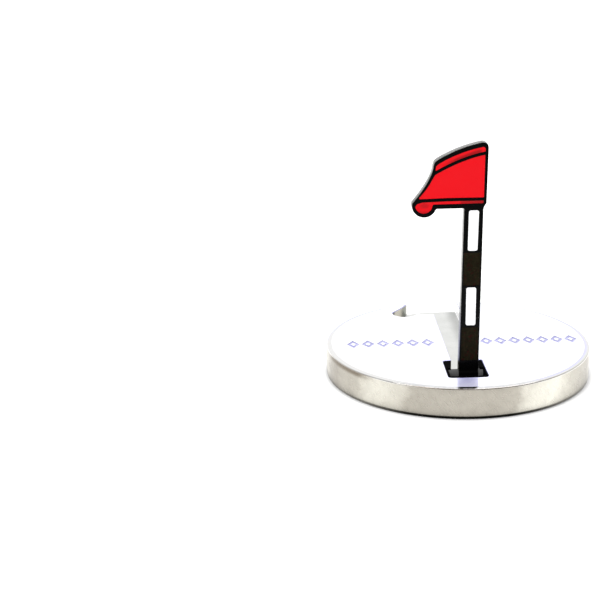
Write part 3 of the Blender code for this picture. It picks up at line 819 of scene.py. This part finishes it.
def red_bottom(mat):
    """Darker to the right, and in the middle of the rolled corner."""
    x, y, z = mat.split(mat.coords())
    right = mat.remap(x, over=(-1.75, -1.35), to=(0.14, 0.80))
    more = mat.remap(x, over=(-1.35, 1.4), to=(0.0, 0.28))
    # distance from the middle of the roll, 1 on an ellipse of these half axes
    half_width, half_height = 0.95, 0.62
    lobe_z = LOBE_CELL[1] + PIN_Z
    across = mat.math("DIVIDE", mat.sub(x, LOBE_CELL[0] + 0.12), half_width)
    upward = mat.math("DIVIDE", mat.sub(z, lobe_z - 0.10), half_height)
    distance = mat.math("SQRT", mat.add(mat.mul(across, across), mat.mul(upward, upward)))
    roll = mat.remap(distance, over=(0.30, 1.0), to=(0.62, 0.0))
    low = mat.remap(z, over=(lobe_z - 0.75, lobe_z - 1.15), to=(0.0, 0.55))
    amount = mat.math("MAXIMUM", mat.add(right, more), roll)
    return red_tone(mat, mat.math("ADD", amount, low, clamp=True))


def white_tone(mat):
    cloud = mat.noise(mat.coords(), scale=3.0)
    return mat.shades(cloud, (0.90, 0.90, 0.915), (0.95, 0.95, 0.955))


def dark_tone(mat):
    """Olive-black with faint red specks."""
    cloud = mat.noise(mat.coords(), scale=3.4, detail=4.0, rough=0.7)
    specks = mat.noise(mat.coords(), scale=2.1, detail=2.0, distortion=0.4)
    base = mat.ramp(cloud, [(0.30, (0.0035, 0.0026, 0.0006)), (0.50, (0.0085, 0.0066, 0.0020)),
                            (0.70, (0.0150, 0.0122, 0.0048))])
    return mat.mix(mat.remap(specks, over=(0.54, 0.66), to=(0.0, 0.85)), base,
                   (0.0190, 0.0016, 0.0012))


def charcoal_tone(mat):
    cloud = mat.noise(mat.coords(), scale=6.0, detail=4.0, rough=0.65)
    return mat.shades(cloud, (0.015, 0.016, 0.020), (0.026, 0.027, 0.032))


def pale_tone(mat):
    grain = mat.noise(mat.coords(), scale=9.0, detail=4.0, rough=0.7)
    return mat.shades(grain, (0.60, 0.59, 0.55), (0.76, 0.75, 0.71))


FACE, EDGE, ROUND = face_material(), edge_material(), round_material()
POCKET, GROOVE = pocket_material(), groove_material()
WALL, LIP = wall_material(), lip_material()
FLAG_NICKEL, STRUCK = flag_side_material(), struck_material()
LACQUER, BRACKET, STEEL = lacquer_material(), bracket_material(), pin_material()
RED_MIDDLE = enamel_material("red_enamel_middle", red_plain)
RED_TOP = enamel_material("red_enamel_top", red_top)
RED_BOTTOM = enamel_material("red_enamel_bottom", red_bottom)
WHITE = enamel_material("white_enamel", white_tone, specular=0.30)
DARK = enamel_material("dark_speckled_enamel", dark_tone, rough=(0.30, 0.45),
                       specular=0.05, peel_strength=0.2)
CHARCOAL = enamel_material("charcoal_enamel", charcoal_tone, rough=(0.22, 0.36),
                           specular=0.4, peel_strength=0.15)
PALE = enamel_material("pale_grained_enamel", pale_tone, rough=(0.34, 0.48),
                       specular=0.4, peel_strength=0.3)
PENNANT = enamel_material("pennant_red", red_plain)
CREAM = adhesive_material()

# ============================================================== coin body
# Roll-off of the rim: (distance in from the rim, drop below the face).
ROLL_OFF = ((0.0, 0.27), (0.03, 0.14), (0.09, 0.082), (0.20, 0.056),
            (0.40, 0.030), (0.60, 0.009), (0.75, 0.0))
FLAT_R = COIN_R - ROLL_OFF[-1][0]    # where the flat face ends
FOOT_ROUND = 0.30
SEAT_R = COIN_R - LIP_W

CHANNEL = (-1.95, 2.50)              # left and right wall beside the pole
CHANNEL_NEAR = 2.05                  # the right wall narrows towards the hinge
CLEAR = 0.22                         # pocket wall round the folded flag
POCKET_ROOT, POCKET_LIP = 0.10, 0.10

# Engraved band: lozenge rings in a row on each side of the pocket.
LOZENGE_W, LOZENGE_H = 0.98, 1.66    # half width and half height
LOZENGE_LINE, LOZENGE_Y = 0.58, -0.30
GROOVE_DEPTH, GROOVE_DRAFT = 0.08, 0.02
BANDS = ((-16.95, -3.55, 6), (3.50, 18.45, 7))    # left end, right end, count


def roll_off(steps):
    """The roll-off as a smooth run of points, from the edge inwards."""
    knots = [Vector(point) for point in ROLL_OFF]
    knots = [2 * knots[0] - knots[1]] + knots + [2 * knots[-1] - knots[-2]]
    pts = []
    for before, start, end, after in zip(knots, knots[1:], knots[2:], knots[3:]):
        for i in range(steps):
            t = i / steps
            point = 0.5 * ((2 * start) + (end - before) * t
                           + (2 * before - 5 * start + 4 * end - after) * t ** 2
                           + (3 * start - before - 3 * end + after) * t ** 3)
            pts.append((max(point.x, 0.0), max(point.y, 0.0)))
    return pts + [ROLL_OFF[-1]]


def body_profile():
    """From the medallion seat, round the foot and up to the face."""
    return ([(SEAT_R - 0.10, SEAT_DEPTH), (SEAT_R - 0.03, SEAT_DEPTH - 0.03),
             (SEAT_R, SEAT_DEPTH - 0.10), (SEAT_R, 0.05), (SEAT_R + 0.015, 0.015),
             (SEAT_R + 0.05, 0.0)]
            + arc(COIN_R - FOOT_ROUND, FOOT_ROUND, FOOT_ROUND, -90, 0, 8)
            + [(COIN_R, 1.2), (COIN_R, 2.4), (COIN_R, 3.6)]
            + [(COIN_R - inset, COIN_T - drop) for inset, drop in roll_off(3)]
            + [(FLAT_R - 0.08, COIN_T)])


def fly_wall():
    """The flag's fly edge as it lies folded, moved out by CLEAR."""
    curve = bezier(*FLY_CURVE, 20)
    wall = []
    for i, (x, z) in enumerate(curve):
        before = Vector(curve[max(i - 1, 0)])
        after = Vector(curve[min(i + 1, len(curve) - 1)])
        along = (after - before).normalized()
        wall.append((x + along.y * CLEAR, PIN_Y + z - along.x * CLEAR))
    return wall


def pocket_outline():
    """One outline for recess, channel and pocket, open past the rim.

    Seen from above, counter-clockwise from the recess's back left. The last
    corner of each filleted run only sets a direction and is dropped.
    """
    base_y = PIN_Y + FLAG_BASE_Z - CLEAR
    lobe = Vector((LOBE[0], PIN_Y + LOBE[1]))
    lobe_r = LOBE[2] + CLEAR
    # fillet between the lobe and the straight wall at the flag's base
    fillet = 0.35
    fillet_y = base_y - fillet
    centre = Vector((
        lobe.x + math.sqrt((lobe_r + fillet) ** 2 - (fillet_y - lobe.y) ** 2), fillet_y))
    touch = math.degrees(math.atan2(centre.y - lobe.y, centre.x - lobe.x))
    fly = fly_wall()
    fly_x = fly[0][0]
    pts = filleted([
        (CHANNEL[0], RECESS_Y[1], 0.16), (RECESS_X[0], RECESS_Y[1], 0.60),
        (RECESS_X[0], RECESS_Y[0], 0.60), (RECESS_X[1], RECESS_Y[0], 0.60),
        (RECESS_X[1], RECESS_Y[1], 0.22), (CHANNEL_NEAR, RECESS_Y[1], 0.12),
        (CHANNEL[1], 14.0, 0.0), (CHANNEL[1], 23.5, 0.0), (fly_x, 23.5, 0.0),
        (fly_x, 21.0, 0.0)])[:-1]
    pts += fly
    pts += arc(lobe.x, lobe.y, lobe_r, 172, touch + 360, 32)
    pts += arc(centre.x, centre.y, fillet, touch + 180, 90, 6)[1:]
    pts += filleted([(centre.x + 0.5, base_y, 0.0), (CHANNEL[0], base_y, 0.30),
                     (CHANNEL[0], 8.0, 0.0)])[:-1]
    return cleaned(pts, 0.02)


def pocket_cutter():
    """Cutter with a root fillet at its floor and a round-over at its mouth."""
    pts = pocket_outline()
    loops = []
    for i in range(5):
        angle = math.radians(22.5 * i)
        loops.append((grown(pts, -POCKET_ROOT * (1 - math.sin(angle))),
                      FLOOR_Z + POCKET_ROOT * (1 - math.cos(angle))))
    for i in range(5):
        angle = math.radians(20.0 * i)
        loops.append((grown(pts, POCKET_LIP * (1 - math.cos(angle))),
                      COIN_T - POCKET_LIP + POCKET_LIP * math.sin(angle)))
    loops.append((loops[-1][0], COIN_T + 1.0))
    return loft("cut_pocket", loops)


def lozenge(bm, cx, inset, z):
    width, height = LOZENGE_W - inset, LOZENGE_H - inset * LOZENGE_H / LOZENGE_W
    corners = ((cx - width, LOZENGE_Y, z), (cx, LOZENGE_Y - height, z),
               (cx + width, LOZENGE_Y, z), (cx, LOZENGE_Y + height, z))
    return [bm.verts.new(Vector(corner) * MM) for corner in corners]


def groove_ring(bm, cx, low, high):
    """Ring-shaped cutter that follows a lozenge, narrower at its floor."""
    outer_low = lozenge(bm, cx, GROOVE_DRAFT, low)
    outer_high = lozenge(bm, cx, -GROOVE_DRAFT, high)
    inner_low = lozenge(bm, cx, LOZENGE_LINE - GROOVE_DRAFT, low)
    inner_high = lozenge(bm, cx, LOZENGE_LINE + GROOVE_DRAFT, high)
    for i in range(4):
        j = (i + 1) % 4
        bm.faces.new((outer_low[i], outer_low[j], outer_high[j], outer_high[i]))
        bm.faces.new((inner_low[j], inner_low[i], inner_high[i], inner_high[j]))
        bm.faces.new((outer_high[i], outer_high[j], inner_high[j], inner_high[i]))
        bm.faces.new((outer_low[j], outer_low[i], inner_low[i], inner_low[j]))


def band_cutter():
    bm = bmesh.new()
    for x0, x1, count in BANDS:
        first, last = x0 + LOZENGE_W, x1 - LOZENGE_W
        for i in range(count):
            groove_ring(bm, first + (last - first) * i / (count - 1),
                        COIN_T - GROOVE_DEPTH, COIN_T + 0.3)
    return from_bm("cut_band", bm)


def body_finish(face):
    """Material of a coin face, by where it lies and which way it looks."""
    centre, normal = face.center / MM, face.normal
    radius = math.hypot(centre.x, centre.y)
    if centre.z > COIN_T - 0.004 and normal.z > 0.98 and radius < FLAT_R + 0.02:
        return FACE
    if centre.z < 0.02 or radius < SEAT_R + 0.06 and centre.z < SEAT_DEPTH + 0.02:
        return STRUCK
    outward = normal.x * centre.x + normal.y * centre.y
    if radius > FLAT_R - 0.01 and outward > 0.02 * radius:
        return ROUND if normal.z > 0.12 else EDGE
    if centre.z > COIN_T - 0.10 and abs(centre.y - LOZENGE_Y) < 1.8 and abs(centre.x) > 2.9:
        return GROOVE
    if centre.z > COIN_T - 0.105:
        return LIP
    return POCKET if normal.z > 0.9 else WALL


def build_body():
    body = turned("coin_body_fine", body_profile(), 360)
    cut(body, pocket_cutter(), band_cutter())
    paint(body, [FACE, EDGE, ROUND, POCKET, GROOVE, STRUCK, WALL, LIP], body_finish, 28)
    keep(weighted(body), "coin")


# ================================================== hinge bracket and pin
WELL_LEFT_BACK, WELL_LEFT_FRONT, WELL_RIGHT = -2.07, -2.48, 1.78
WELL_Y0 = RECESS_Y[0] + 0.85
HOOK_Y = -11.45                # the trough curls over the pin up to here
TROUGH_R = PIN_R + 0.03
TROUGH_END_GAP = 0.06
PIN_ROUND, PIN_END_R = 0.12, 0.10


def trough_cutter():
    """Trough for the pin: an outline of (y, z) run along X."""
    hook = math.degrees(math.acos((HOOK_Y - PIN_Y) / TROUGH_R))
    pts = ([(WELL_Y0 - 0.02, COIN_T + 0.5), (WELL_Y0, BRACKET_Z1 - 0.10),
            (WELL_Y0, PIN_Z - TROUGH_R + 0.12), (WELL_Y0 + 0.12, PIN_Z - TROUGH_R)]
           + arc(PIN_Y, PIN_Z, TROUGH_R, -90, hook, 32)
           + [(HOOK_Y - 0.01, BRACKET_Z1 - 0.10), (HOOK_Y + 0.05, BRACKET_Z1 - 0.02),
              (HOOK_Y + 0.12, COIN_T + 0.5)])
    bm = bmesh.new()
    left, right = ([bm.verts.new(Vector((x, y, z)) * MM) for y, z in pts]
                   for x in (PIN_X0 - TROUGH_END_GAP, PIN_X1 + TROUGH_END_GAP))
    bm.faces.new(left)
    bm.faces.new(right[::-1])
    for i in range(len(left)):
        j = (i + 1) % len(left)
        bm.faces.new((left[i], right[i], right[j], left[j]))
    return from_bm("cut_trough", bm)


def build_bracket():
    """U-shaped block, open to the back."""
    outline = filleted([
        (BRACKET_X0, BRACKET_Y0, 0.56), (BRACKET_X1, BRACKET_Y0, 0.56),
        (BRACKET_X1, BRACKET_Y1, 0.18), (WELL_RIGHT, BRACKET_Y1, 0.12),
        (WELL_RIGHT, WELL_Y0, 0.22), (WELL_LEFT_FRONT, WELL_Y0, 0.22),
        (WELL_LEFT_FRONT, PIN_Y - PIN_R, 0.5), (WELL_LEFT_BACK, BRACKET_Y1, 0.12),
        (BRACKET_X0, BRACKET_Y1, 0.56)])
    bracket = rounded_plate("hinge_bracket_fine", [outline], BRACKET_Z0, BRACKET_Z1,
                            bevel=0.07, steps=3, mats=[BRACKET])
    cut(bracket, trough_cutter())
    finish_mesh(bracket.data, 40)
    keep(weighted(bracket), "coin")


def build_pin():
    profile = ([(PIN_END_R, PIN_X0)] + bar_profile(PIN_R, PIN_X0, PIN_X1, PIN_ROUND, 6)
               + [(PIN_END_R, PIN_X1)])
    pin = turned("hinge_pin_fine", profile, 96, [STEEL], "X", AT_PIN)
    keep(weighted(pin), "coin")


# =================================================================== flag
# Right shoulder, top right corner, top edge, top left corner:
# (start, pull, end, steps).
FLAG_EDGE = (
    ((1.75, 24.72), (1.82, 25.20), (2.17, 25.60), 8),
    ((2.30, 33.32), (2.33, 34.28), (1.50, 34.29), 10),
    ((1.30, 34.27), (-1.90, 33.66), (-4.80, 31.97), 24),
    ((-5.02, 31.82), (-5.25, 31.64), (-5.33, 31.32), 8))
KNUCKLE_R, KNUCKLE_INSET, KNUCKLE_ROUND = 0.85, 0.02, 0.10
BORE_GAP = 0.05
FOOT_BLACK = 2.10        # the foot is lacquered all round up to here
# Enamel climbs its cell's walls and dips to a flat face.
FILL_DIP, FILL_REACH = 0.030, 0.11

# Pole windows: (node, (left, right) at the foot, (left, right) at the top,
# (foot, top) height, corner radius, material, slot).
POLE_WINDOWS = (
    ("pole_enamel_upper_white", (-0.38, 0.98), (-0.31, 1.10), (18.72, 24.60), 0.28,
     WHITE, "white_enamel"),
    ("pole_enamel_upper_dark", (-0.93, 1.39), (-0.87, 1.43), (13.56, 18.40), 0.12,
     DARK, "dark_enamel"),
    ("pole_enamel_lower_white", (-0.47, 0.92), (-0.47, 0.92), (7.56, 13.24), 0.28,
     WHITE, "white_enamel"),
    ("pole_enamel_lower_dark", (-1.07, 1.30), (-1.00, 1.34), (2.20, 7.22), 0.12,
     DARK, "dark_enamel"))


def pole_side(side, z):
    return POLE[side] + (POLE_TOP[side] - POLE[side]) * z / FLAG_BASE_Z


def flag_outline(foot):
    """Pole and cloth, counter-clockwise from the pole's right foot."""
    pts = [(pole_side(1, foot), foot)]
    for curve in FLAG_EDGE:
        pts += bezier(*curve)
    pts += bezier(*FLY_CURVE, 24)
    pts += arc(*LOBE, 171, 338, 32)
    left = POLE_TOP[0]
    pts += [(-4.84, FLAG_BASE_Z), (left - 0.25, FLAG_BASE_Z)]
    pts += bezier((left - 0.18, FLAG_BASE_Z), (left, FLAG_BASE_Z),
                  (left, FLAG_BASE_Z - 0.18), 5)
    # the foot's corners stay out of the cleaning run's closing test
    return cleaned(pts + [(pole_side(0, foot), foot)])


def build_plate():
    plate = rounded_plate("flag_plate_fine", [resampled(flag_outline(0.0), 0.5)],
                          -PLATE_BACK, -PLATE_FRONT, bevel=0.09, steps=3, place=ON_FLAG)
    # the knuckle's ends stand just inside the pole's sides
    profile = bar_profile(KNUCKLE_R, POLE[0] + KNUCKLE_INSET, POLE[1] - KNUCKLE_INSET,
                          KNUCKLE_ROUND, 5)
    cut(plate, turned("add_knuckle", profile, 96, (), "X", AT_PIN), operation="UNION")
    bore_r = PIN_R + BORE_GAP
    cut(plate, turned("cut_bore", [(bore_r, POLE[0] - 1), (bore_r, POLE[1] + 1)], 96, (),
                      "X", AT_PIN))

    def finish(face):
        return LACQUER if face.center.z / MM < PIN_Z + FOOT_BLACK else FLAG_NICKEL
    paint(plate, [FLAG_NICKEL, LACQUER], finish, 40)
    keep(weighted(plate), "flag")


def cell_top():
    upper = bezier((1.62, 33.64), (-1.60, 33.09), (-4.55, 31.42), 24)
    lower = bezier(*TOP_FOLD, 24)
    return [(1.83, 33.42)] + upper + [(-5.02, 31.02)] + lower[::-1]


def cell_middle():
    upper = bezier((1.79, 32.51), (-1.60, 31.85), (-5.13, 29.80), 24)
    fly_side = bezier((-5.50, 29.20), (-6.08, 27.95), (-7.34, 26.58), 16)
    return upper + fly_side + [(-7.32, 26.41), (-3.4, 26.51), (1.74, 26.48)]


def cell_bottom():
    return ([(1.68, 25.64), (1.71, 26.00), (-3.4, 25.99), (-6.90, 25.89), (-7.62, 25.68)]
            + arc(*LOBE_CELL, 190, 348, 28) + [(-5.46, 25.52), (-5.30, 25.61)])


def enamel_cells():
    """Cells of the flag: (node, outline, material, slot)."""
    cells = [("flag_enamel_top", cell_top(), RED_TOP, "red_enamel"),
             ("flag_enamel_middle", cell_middle(), RED_MIDDLE, "red_enamel"),
             ("flag_enamel_bottom", cell_bottom(), RED_BOTTOM, "red_enamel")]
    for node, foot_x, top_x, heights, radius, mat, slot in POLE_WINDOWS:
        corners = [(foot_x[0], heights[0], radius), (foot_x[1], heights[0], radius),
                   (top_x[1], heights[1], radius), (top_x[0], heights[1], radius)]
        cells.append((node, filleted(corners), mat, slot))
    return [(node, softened(pts), mat, slot) for node, pts, mat, slot in cells]


def poured(name, pts, back, face, mat):
    """Enamel in a cell: climbs its walls, then settles to a flat face."""
    loops = [(pts, back), (pts, face - 0.004)]
    for i in range(1, 6):
        t = i / 5
        loops.append((grown(pts, -FILL_REACH * t), face - FILL_DIP * (1 - (1 - t) ** 2.2)))
    return loft(name, loops, [mat], ON_FLAG, 60)


def build_flag_front():
    """The lacquer film with its windows, and the enamel that fills them."""
    cells = enamel_cells()
    holes = [grown(pts, 0.02) for node, pts, mat, slot in cells]
    film = rounded_plate("flag_linework_fine",
                         [resampled(grown(flag_outline(FOOT_Z), -0.03), 0.8)] + holes,
                         -FILM_BACK, -FILM_FRONT, bevel=0.045, steps=3, mats=[LACQUER],
                         place=ON_FLAG)
    keep(weighted(film), "flag")
    for node, pts, mat, slot in cells:
        fill = poured(node + "_fine", grown(pts, 0.012), -FILL_BACK, -FILM_FRONT - 0.015, mat)
        keep(fill, "flag")


# ============================================================== medallion
# Its struck face looks down; outlines are drawn as seen from below.
MEDAL_FACE, MEDAL_FIELD, MEDAL_RIM = 0.15, 0.50, 0.58
CENTRE_R0, CENTRE_R1 = 7.58, 7.84      # raised ring round the centre
FIELD_R1 = MEDAL_R - MEDAL_RIM
RIDGE_ROUND, RIM_ROUND, BACK_ROUND = 0.07, 0.14, 0.06
STRUCK_ROOT = MEDAL_FIELD + 0.1        # raised lines start inside the disc
ENAMEL_FACE, ENAMEL_GAP = 0.25, 0.03
ENAMEL_BACK = MEDAL_FIELD - 0.02
DIVIDER_W, MOTIF_R = 0.28, 12.9
SECTORS = 7
PITCH = 360.0 / SECTORS
SECTOR_ANGLES = [270.0 + k * PITCH for k in range(SECTORS)]
MAST_W, MAST_FOOT, MAST_TOP = 0.32, -6.9, 5.9      # half width, then heights
GLUE_R, GLUE_T = 18.3, 0.09


def star():
    points = []
    for k in range(10):
        radius = 2.7 if k % 2 == 0 else 1.15
        angle = math.radians(90 + 36 * k)
        points.append((radius * math.cos(angle), radius * math.sin(angle)))
    return [points]


def pine():
    return [rect(-0.35, 0.35, -2.9, -2.2),
            [(-2.3, -1.9), (2.3, -1.9), (1.1, -0.5), (-1.1, -0.5)],
            [(-1.8, -0.2), (1.8, -0.2), (0.8, 1.1), (-0.8, 1.1)],
            [(-1.3, 1.4), (1.3, 1.4), (0.0, 3.1)]]


def peaks():
    return [[(-3.1, -2.0), (0.5, -2.0), (-1.3, 2.3)],
            [(0.9, -2.0), (3.3, -2.0), (2.1, 0.5)], circle(1.9, 2.0, 0.6, 48)]


def sun():
    return ([circle(0, 0, 1.15, 64)]
            + [spun(rect(1.6, 2.8, -0.22, 0.22), 45 * k) for k in range(8)])


def ball_on_tee():
    return [circle(0, 1.2, 1.5, 72),
            [(-1.0, -0.6), (1.0, -0.6), (0.3, -1.3), (0.14, -3.1),
             (-0.14, -3.1), (-0.3, -1.3)]]


def leaf():
    right = bezier((0.12, 3.0), (2.9, 0.8), (0.12, -1.9), 24)
    return [right, [(-x, y) for x, y in right][::-1], rect(-0.16, 0.16, -3.2, -2.2)]


def waves():
    spacing, half_length, swell, half_width = 1.9, 2.9, 0.38, 0.24
    shapes = []
    for k in range(3):
        level = -spacing + spacing * k
        crest = [(-half_length + 2 * half_length * i / 48,
                  level + swell * math.sin(4 * math.pi * i / 48)) for i in range(49)]
        shapes.append([(x, y - half_width) for x, y in crest]
                      + [(x, y + half_width) for x, y in reversed(crest)])
    return shapes


def on_sector(pts, angle):
    """A motif drawn about its own centre, its top facing outwards."""
    if len(pts) < 12:
        pts = softened(pts)
    return spun([(MOTIF_R + y, -x) for x, y in pts], angle)


def build_medal(islands):
    ridge = MEDAL_FACE + RIDGE_ROUND
    profile = ([(0.5, MEDAL_FIELD), (CENTRE_R0, MEDAL_FIELD)]
               + arc(CENTRE_R0 + RIDGE_ROUND, ridge, RIDGE_ROUND, 180, 270, 4)
               + arc(CENTRE_R1 - RIDGE_ROUND, ridge, RIDGE_ROUND, 270, 360, 4)
               + [(CENTRE_R1, MEDAL_FIELD), (FIELD_R1, MEDAL_FIELD)]
               + arc(FIELD_R1 + RIDGE_ROUND, ridge, RIDGE_ROUND, 180, 270, 4)
               + arc(MEDAL_R - RIM_ROUND, MEDAL_FACE + RIM_ROUND, RIM_ROUND, 270, 360, 6)
               + arc(MEDAL_R - BACK_ROUND, MEDAL_BACK - BACK_ROUND, BACK_ROUND, 0, 90, 3)
               + [(0.5, MEDAL_BACK)])
    medal = turned("medallion_disc", profile, 288)
    bar = rect(CENTRE_R1 - 0.09, FIELD_R1 + 0.09, -DIVIDER_W / 2, DIVIDER_W / 2)
    dividers = rounded_plate("medallion_lines", [spun(bar, a + PITCH / 2)
                                                 for a in SECTOR_ANGLES],
                             -STRUCK_ROOT, -(MEDAL_FACE + 0.01), bevel=0.06, steps=3,
                             place=BELOW)
    raised = rounded_plate("medallion_motifs", [pts for group in islands for pts in group],
                           -STRUCK_ROOT, -(MEDAL_FACE + 0.02), bevel=0.05, steps=3,
                           place=BELOW)
    cut(medal, dividers, raised, operation="UNION")
    medal.name = "medallion_fine"
    paint(medal, [STRUCK], lambda face: STRUCK, 40)
    keep(weighted(medal), "coin")


def medal_enamel(node, loops, bevel, steps, mat):
    fill = rounded_plate(node + "_fine", loops, -ENAMEL_BACK, -ENAMEL_FACE, bevel, steps,
                         [mat], BELOW)
    keep(weighted(fill), "coin")


def build_sectors(islands):
    """Charcoal enamel round the motifs, one piece to a sector."""
    inner, outer = CENTRE_R1 + ENAMEL_GAP, FIELD_R1 - ENAMEL_GAP
    side = DIVIDER_W / 2 + ENAMEL_GAP
    inner_half, outer_half = (PITCH / 2 - math.degrees(math.asin(side / radius))
                              for radius in (inner, outer))
    for i, angle in enumerate(SECTOR_ANGLES):
        pts = (arc(0, 0, outer, angle - outer_half, angle + outer_half, 40)
               + arc(0, 0, inner, angle + inner_half, angle - inner_half, 20))
        holes = [grown(island, ENAMEL_GAP) for island in islands[i]]
        medal_enamel("sector_enamel_%d" % (i + 1), [pts] + holes, 0.03, 2,
                     CHARCOAL)


def build_centre():
    """Pale field with a black pole and a red pennant let into it."""
    side = MAST_W + ENAMEL_GAP
    foot, top = MAST_FOOT - ENAMEL_GAP, MAST_TOP + ENAMEL_GAP
    hole = [(side, foot), (side, top), (-side, top), (-side, 5.76),
            (-4.68, 4.10), (-side, 2.65), (-side, foot)]
    medal_enamel("centre_enamel", [circle(0, 0, CENTRE_R0 - ENAMEL_GAP, 180), hole],
                 0.025, 2, PALE)
    mast = softened(rect(-MAST_W, MAST_W, MAST_FOOT, MAST_TOP), 0.08)
    medal_enamel("mast_enamel", [mast], 0.03, 2, LACQUER)
    pennant = softened([(-0.42, 5.7), (-4.6, 4.1), (-0.42, 2.7)], 0.08)
    medal_enamel("pennant_enamel", [pennant], 0.03, 2, PENNANT)


def build_adhesive():
    """Film of adhesive behind the medallion, its edge bulged by the pressing."""
    middle, half = 0.5 * (MEDAL_BACK + SEAT_DEPTH), GLUE_T / 2
    film = turned("adhesive_film_fine",
                  [(0.5, middle - half)] + arc(GLUE_R - half, middle, half, -90, 90, 8)
                  + [(0.5, middle + half)], 240, [CREAM])
    keep(weighted(film), "coin")


# ================================================================== stage
def floor_material():
    """Pale floor, shaded where the coin nearly touches it."""
    mat = Material("pale_floor")
    # the colour is the plain value that stays under the link made below
    mat.surface(Base_Color=grey(0.90), Roughness=0.9, Specular_IOR_Level=0.0)
    light_path = mat.node("ShaderNodeLightPath")
    x, y, z = mat.split(mat.node("ShaderNodeNewGeometry").outputs["Position"])
    # seen in reflections, the floor falls off towards the camera side (metres)
    near = mat.remap(y, over=(-0.055, -0.085))
    strongest = 0.72
    dark = mat.mul(mat.mul(near, light_path.outputs["Is Glossy Ray"]), strongest)
    touch = mat.ramp(mat.occlusion(reach=1.1),
                     [(0.40, grey(0.62)), (0.62, grey(0.74)), (0.86, grey(1))], "LINEAR")
    pale = mat.mix(touch, grey(0.10), grey(0.90))
    glow = mat.mul(touch, mat.remap(dark, over=(0.0, strongest), to=(0.30, 0.0)))
    return mat.surface(Base_Color=mat.mix(dark, pale, grey(0.10)),
                       Emission_Color=grey(1), Emission_Strength=glow)


def build_floor():
    bm = bmesh.new()
    bmesh.ops.create_grid(bm, x_segments=8, y_segments=8, size=2.0)
    mesh = bpy.data.meshes.new("floor")
    bm.to_mesh(mesh)
    bm.free()
    floor = link(bpy.data.objects.new("floor", mesh))
    mesh.materials.append(floor_material())


# Sky seen in reflections: (place from -Y at 0 to +Y at 1, colour).
SKY = ((0.12, (0.32, 0.31, 0.30)), (0.48, (0.62, 0.62, 0.62)),
       (0.78, (0.84, 0.84, 0.84 * 1.01)), (0.92, (1.10, 1.10, 1.10 * 1.01)),
       (1.0, (1.14, 1.14, 1.14 * 1.01)))


def build_world():
    """One sky for reflections, one for diffuse light, one for the camera."""
    world = bpy.data.worlds.new("studio")
    bpy.context.scene.world = world
    world.use_nodes = True
    graph = Graph(world.node_tree)
    for node in list(graph.tree.nodes):
        graph.tree.nodes.remove(node)

    def background(**inputs):
        return graph.node("ShaderNodeBackground", inputs).outputs[0]

    def blend(factor, first, second):
        return graph.node("ShaderNodeMixShader", {0: factor, 1: first, 2: second}).outputs[0]

    coords = graph.node("ShaderNodeTexCoord").outputs["Generated"]
    x, y, z = graph.split(coords)
    glossy = background(Color=graph.ramp(graph.remap(y, over=(-1.0, 1.0)), SKY))
    plain = background(Color=grey(1.0), Strength=0.86)
    seen = background(Color=grey(1.0), Strength=1.02)
    path = graph.node("ShaderNodeLightPath").outputs
    unseen = blend(path["Is Glossy Ray"], plain, glossy)
    sky = blend(path["Is Camera Ray"], unseen, seen)
    graph.node("ShaderNodeOutputWorld", {"Surface": sky})


def area_light(name, location, size, power):
    """Round softbox aimed at the coin; place and size in metres."""
    target = (0, 0, 0.01)
    data = bpy.data.lights.new(name, "AREA")
    data.shape = "DISK"
    data.size = size
    data.energy = power
    obj = link(bpy.data.objects.new(name, data))
    obj.location = location
    direction = Vector(target) - Vector(location)
    obj.rotation_euler = direction.to_track_quat("-Z", "Y").to_euler()


def build_camera():
    data = bpy.data.cameras.new("camera")
    data.sensor_width = 36.0
    data.lens = 85.87
    data.clip_start = 0.005
    data.clip_end = 20.0
    camera = link(bpy.data.objects.new("camera", data))
    location = Vector((-29.34, -206.54, 78.66))
    right = Vector((0.99937, -0.031266, -0.016825))
    up = Vector((0.025609, 0.306517, 0.951523))
    back = -Vector((0.024593, 0.951353, -0.307125))
    turn = Matrix((right, up, back)).transposed()
    camera.matrix_world = Matrix.Translation(location * MM) @ turn.to_4x4()
    bpy.context.scene.camera = camera


# ================================================================== build
build_body()
build_bracket()
build_pin()
build_plate()
build_flag_front()

motifs = (star(), ball_on_tee(), sun(), peaks(), pine(), waves(), leaf())
motif_islands = [[on_sector(pts, angle) for pts in motif]
                 for motif, angle in zip(motifs, SECTOR_ANGLES)]
build_medal(motif_islands)
build_sectors(motif_islands)
build_centre()
build_adhesive()

build_floor()
build_world()
area_light("key_softbox", location=(-0.28, -0.22, 0.42), size=0.30, power=1.2)
area_light("top_softbox", location=(0.10, 0.18, 0.50), size=0.34, power=0.9)
build_camera()
view = bpy.context.scene.view_settings
view.view_transform = "Standard"
view.look = "None"
